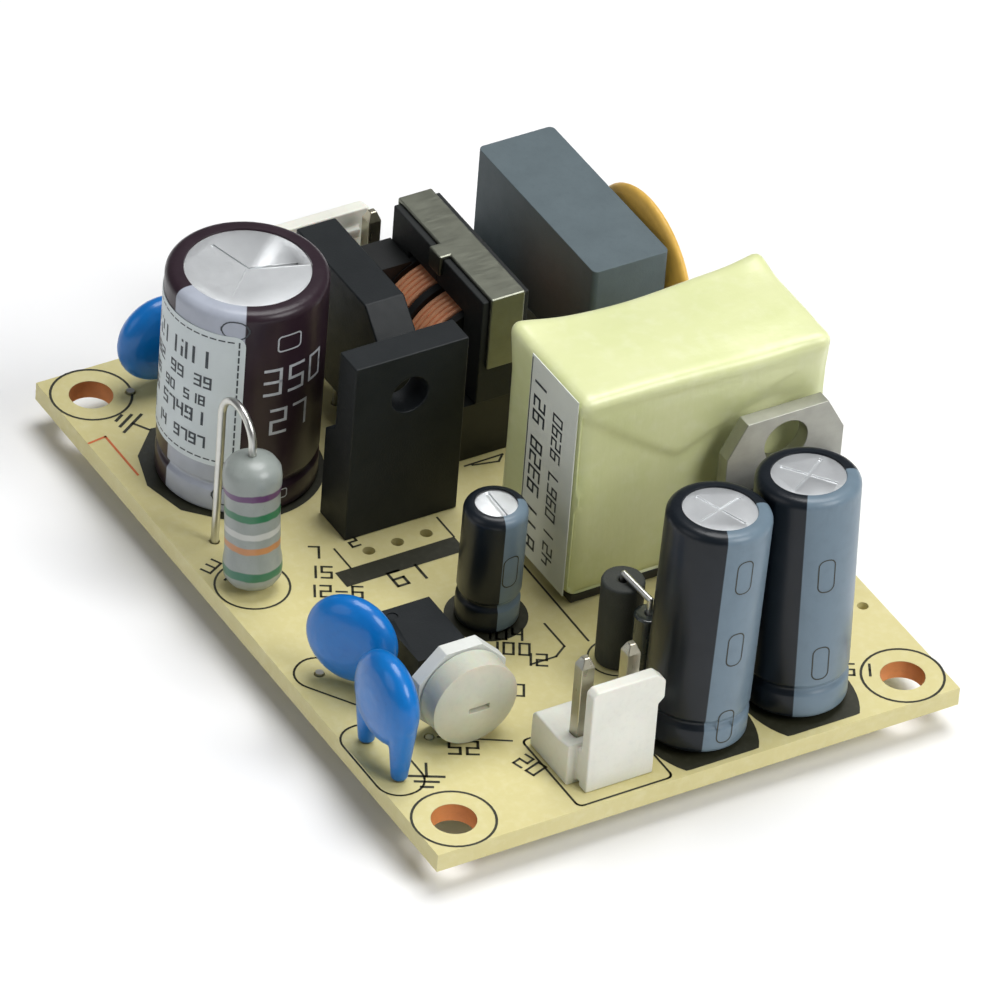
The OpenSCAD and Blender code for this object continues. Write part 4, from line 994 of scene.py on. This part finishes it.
def board_print():
    ink = Print(plan_spot)
    board_low, board_high = mm_box("circuit_board")
    # Screw holes: distance from the edges, printed ring and radius, in mm
    inset = 3.175
    ring = 3.2
    hole_r = 1.75
    corners = [(sx * (board_high.x - inset), sy * (board_high.y - inset))
               for sx in (-1, 1) for sy in (-1, 1)]
    for spot in corners:
        ink.arc(spot, ring, 0.2)
    earth_symbol(ink, board_low.x + inset + 4.6, board_low.y + inset + 1.2, -58)
    earth_symbol(ink, board_high.x - inset - 5.2, board_low.y + inset + 0.6, 62)

    low, high = mm_box("bulk_capacitor_sleeve")
    cx, cy = (low.x + high.x) / 2, (low.y + high.y) / 2
    r = (high.x - low.x) / 2 + 0.55
    corner = [(cx + r * math.cos(math.radians(a)), cy + r * math.sin(math.radians(a)))
              for a in range(-40, 196, 6)]
    ink.field(corner + [(cx - r, cy - r * 0.55), (cx - r * 0.62, cy - r * 0.92),
                        (cx - r * 0.1, cy - r * 1.08), (cx + r * 0.45, cy - r * 0.95)])

    for node, square in (("small_capacitor_sleeve", (0, 0)), ("output_sleeve_left", (1, 0)),
                         ("output_sleeve_right", (1, 0))):
        matrix, radius, _ = can_frame(node)
        foot = matrix.translation / MM
        cap_field(ink, (foot.x, foot.y), radius + (0.75 if square == (0, 0) else 0.45), square)

    foot = can_frame("damping_resistor")[0].translation / MM
    ink.arc((foot.x, foot.y), 2.9, 0.18)
    ink.figures("31", (foot.x - 3.4, foot.y - 2.6), 1.5, 0.2, turn=28)

    low, high = mm_box("switch_transistor")
    face = high.x
    ink.field([(face + 3.1, low.y - 2.6), (face + 5.0, low.y - 2.6), (face + 5.0, high.y - 2.0),
               (face + 3.1, high.y - 2.0)])
    ink.stroke([(face + 0.5, low.y - 1.2), (face + 3.1, low.y - 1.2)], 0.16)
    ink.stroke([(face + 0.5, high.y - 2.0), (face + 3.1, high.y - 2.0)], 0.16)
    ink.figures("2", (face + 0.9, low.y + 0.2), 1.2, 0.2, turn=90)
    ink.figures("61", (face + 6.6, low.y + 1.0), 1.7, 0.24, turn=90)

    low, high = mm_box("output_housing")
    ink.stroke(rounded_box((low.x - 0.6, low.y - 0.35), (board_high.x - 0.35, high.y + 0.3), 0.5),
               0.18, closed=True)
    ink.figures("20", (low.x + 1.4, low.y - 2.2), 1.4, 0.2, turn=18)

    low, high = mm_box("trimmer_base")
    ink.stroke([(high.x + 0.3, low.y + 1.8), (high.x + 3.1, high.y - 0.9)], 0.18)
    ink.figures("52", (high.x + 2.4, low.y + 1.6), 1.5, 0.22, turn=62)

    for node, turn in (("disc_capacitor_left", 34), ("disc_capacitor_right", 0)):
        low, high = mm_box(node)
        mx, my = (low.x + high.x) / 2, (low.y + high.y) / 2
        run, half = 4.4, 1.9
        c, s = math.cos(math.radians(turn)), math.sin(math.radians(turn))
        pts = [(mx + u * c - v * s, my + u * s + v * c)
               for u, v in rounded_box((-run, -half), (run, half), half * 0.95, 1.0, 8)]
        ink.stroke(pts, 0.17, closed=True)

    low, high = mm_box("transformer")
    ink.stroke([(low.x + 4.4, low.y - 0.15), (high.x + 3.8, low.y - 0.3)], 0.18)
    low, high = mm_box("ferrite_bead")
    ink.arc(((low.x + high.x) / 2, (low.y + high.y) / 2), 2.2, 0.16)
    ink.stroke([(low.x - 4.2, low.y - 1.2), (low.x - 1.2, low.y - 1.2), (low.x - 0.4, low.y - 2.4),
                (low.x - 0.4, low.y - 4.6)], 0.18)
    low, high = mm_box("choke_bobbin")
    ink.stroke([(high.x + 0.7, low.y + 2.7), (high.x + 0.64, low.y + 6.1), (high.x + 1.3, low.y + 5.4),
                (high.x + 0.85, low.y + 3.3)], 0.18)
    small, thin = 1.35, 0.2
    marks = (("104", 10.8, -7.2, 60), ("100", 12.6, -7.6, 60), ("12", 14.9, -6.0, 60),
             ("106", 15.2, -11.2, 60), ("40", 17.3, -9.4, 60), ("7", -3.4, -14.2, 62),
             ("15", -1.4, -15.6, 62), ("12-6", 0.6, -16.8, 62), ("51", 26.6, 15.7, 62))
    for digits, x, y, turn in marks:
        ink.figures(digits, (x, y), small, thin, turn=turn)
    ink.piece("board_print", INK)

    mark = Print(plan_spot)
    skin = 0.02
    wall = [(hole_r - skin, BOARD_LOW.z / MM + skin), (hole_r - skin, BOARD_TOP / MM - skin)]
    for k, (x, y) in enumerate(corners):
        tube = spun("hole_lining", wall, 48, 60, Matrix.Translation((x * MM, y * MM, 0)))
        new_piece(f"hole_wall_{k}", tube, BARE_EDGE)
    mark.stroke([(-23.2, board_low.y + 0.1), (-23.4, -21.2), (-18.1, -21.2)], 0.2)
    mark.piece("board_orange_print", ORANGE_INK)


# ---------------------------------------------------------------- staging

SIGHT_AIM = Vector((-1.75, 1.63, 3.08)) * MM
SIGHT_BEARING = math.radians(-32.755)
SIGHT_RISE = math.radians(37.966)
SIGHT_REACH = 0.8331
SIGHT_ROLL = math.radians(4.6)
SIGHT_ANGLE = math.radians(5.297)


def camera():
    away = Vector((math.cos(SIGHT_RISE) * math.cos(SIGHT_BEARING),
                   math.cos(SIGHT_RISE) * math.sin(SIGHT_BEARING), math.sin(SIGHT_RISE)))
    data = bpy.data.cameras.new("camera")
    data.angle = SIGHT_ANGLE
    data.clip_end = 10
    lens = bpy.data.objects.new("camera", data)
    bpy.context.scene.collection.objects.link(lens)
    right = Vector((0, 0, 1)).cross(away).normalized()
    up = away.cross(right)
    turn = Matrix((right, up, away)).transposed() @ Matrix.Rotation(SIGHT_ROLL, 3, "Z")
    lens.matrix_world = Matrix.Translation(SIGHT_AIM + away * SIGHT_REACH) @ turn.to_4x4()
    bpy.context.scene.camera = lens


def soft_light(name, bearing, rise, reach, size, power):
    a, e = math.radians(bearing), math.radians(rise)
    away = Vector((math.cos(e) * math.cos(a), math.cos(e) * math.sin(a), math.sin(e)))
    data = bpy.data.lights.new(name, "AREA")
    data.shape = "DISK"
    data.size = size
    data.energy = power
    lamp = bpy.data.objects.new(name, data)
    bpy.context.scene.collection.objects.link(lamp)
    lamp.location = away * reach
    lamp.rotation_euler = away.to_track_quat("Z", "Y").to_euler()


def surroundings():
    world = bpy.data.worlds.new("white_room")
    bpy.context.scene.world = world
    world.use_nodes = True
    nodes, join = world.node_tree.nodes, world.node_tree.links.new
    sky = nodes["Background"]
    sky.inputs["Color"].default_value = (0.150, 0.153, 0.160, 1)
    seen = nodes.new("ShaderNodeBackground")
    seen.inputs["Color"].default_value = (1, 1, 1, 1)
    ray = nodes.new("ShaderNodeLightPath")
    mix = nodes.new("ShaderNodeMixShader")
    join(ray.outputs["Is Camera Ray"], mix.inputs[0])
    join(sky.outputs[0], mix.inputs[1])
    join(seen.outputs[0], mix.inputs[2])
    join(mix.outputs[0], nodes["World Output"].inputs["Surface"])

    bpy.ops.mesh.primitive_plane_add(size=4, location=(0, 0, REST_Z - 0.00005))
    floor = bpy.context.object
    floor.name = "floor"
    paper = bpy.data.materials.new("floor_paper")
    paper.use_nodes = True
    nodes, join = paper.node_tree.nodes, paper.node_tree.links.new
    base = nodes["Principled BSDF"]
    base.inputs["Base Color"].default_value = (0.9, 0.9, 0.9, 1)
    base.inputs["Roughness"].default_value = 0.9
    floor.data.materials.append(paper)

    soft_light("key", 28, 42, 0.9, 0.50, 4.5)
    soft_light("near_fill", -95, 30, 0.9, 0.60, 0.9)
    soft_light("overhead", 120, 74, 0.9, 0.60, 6.2)
    bpy.context.scene.view_settings.view_transform = "Standard"


dress_nodes()
capacitors()
bulk_label()
windings()
transformer()
resistor()
board_print()
camera()
surroundings()
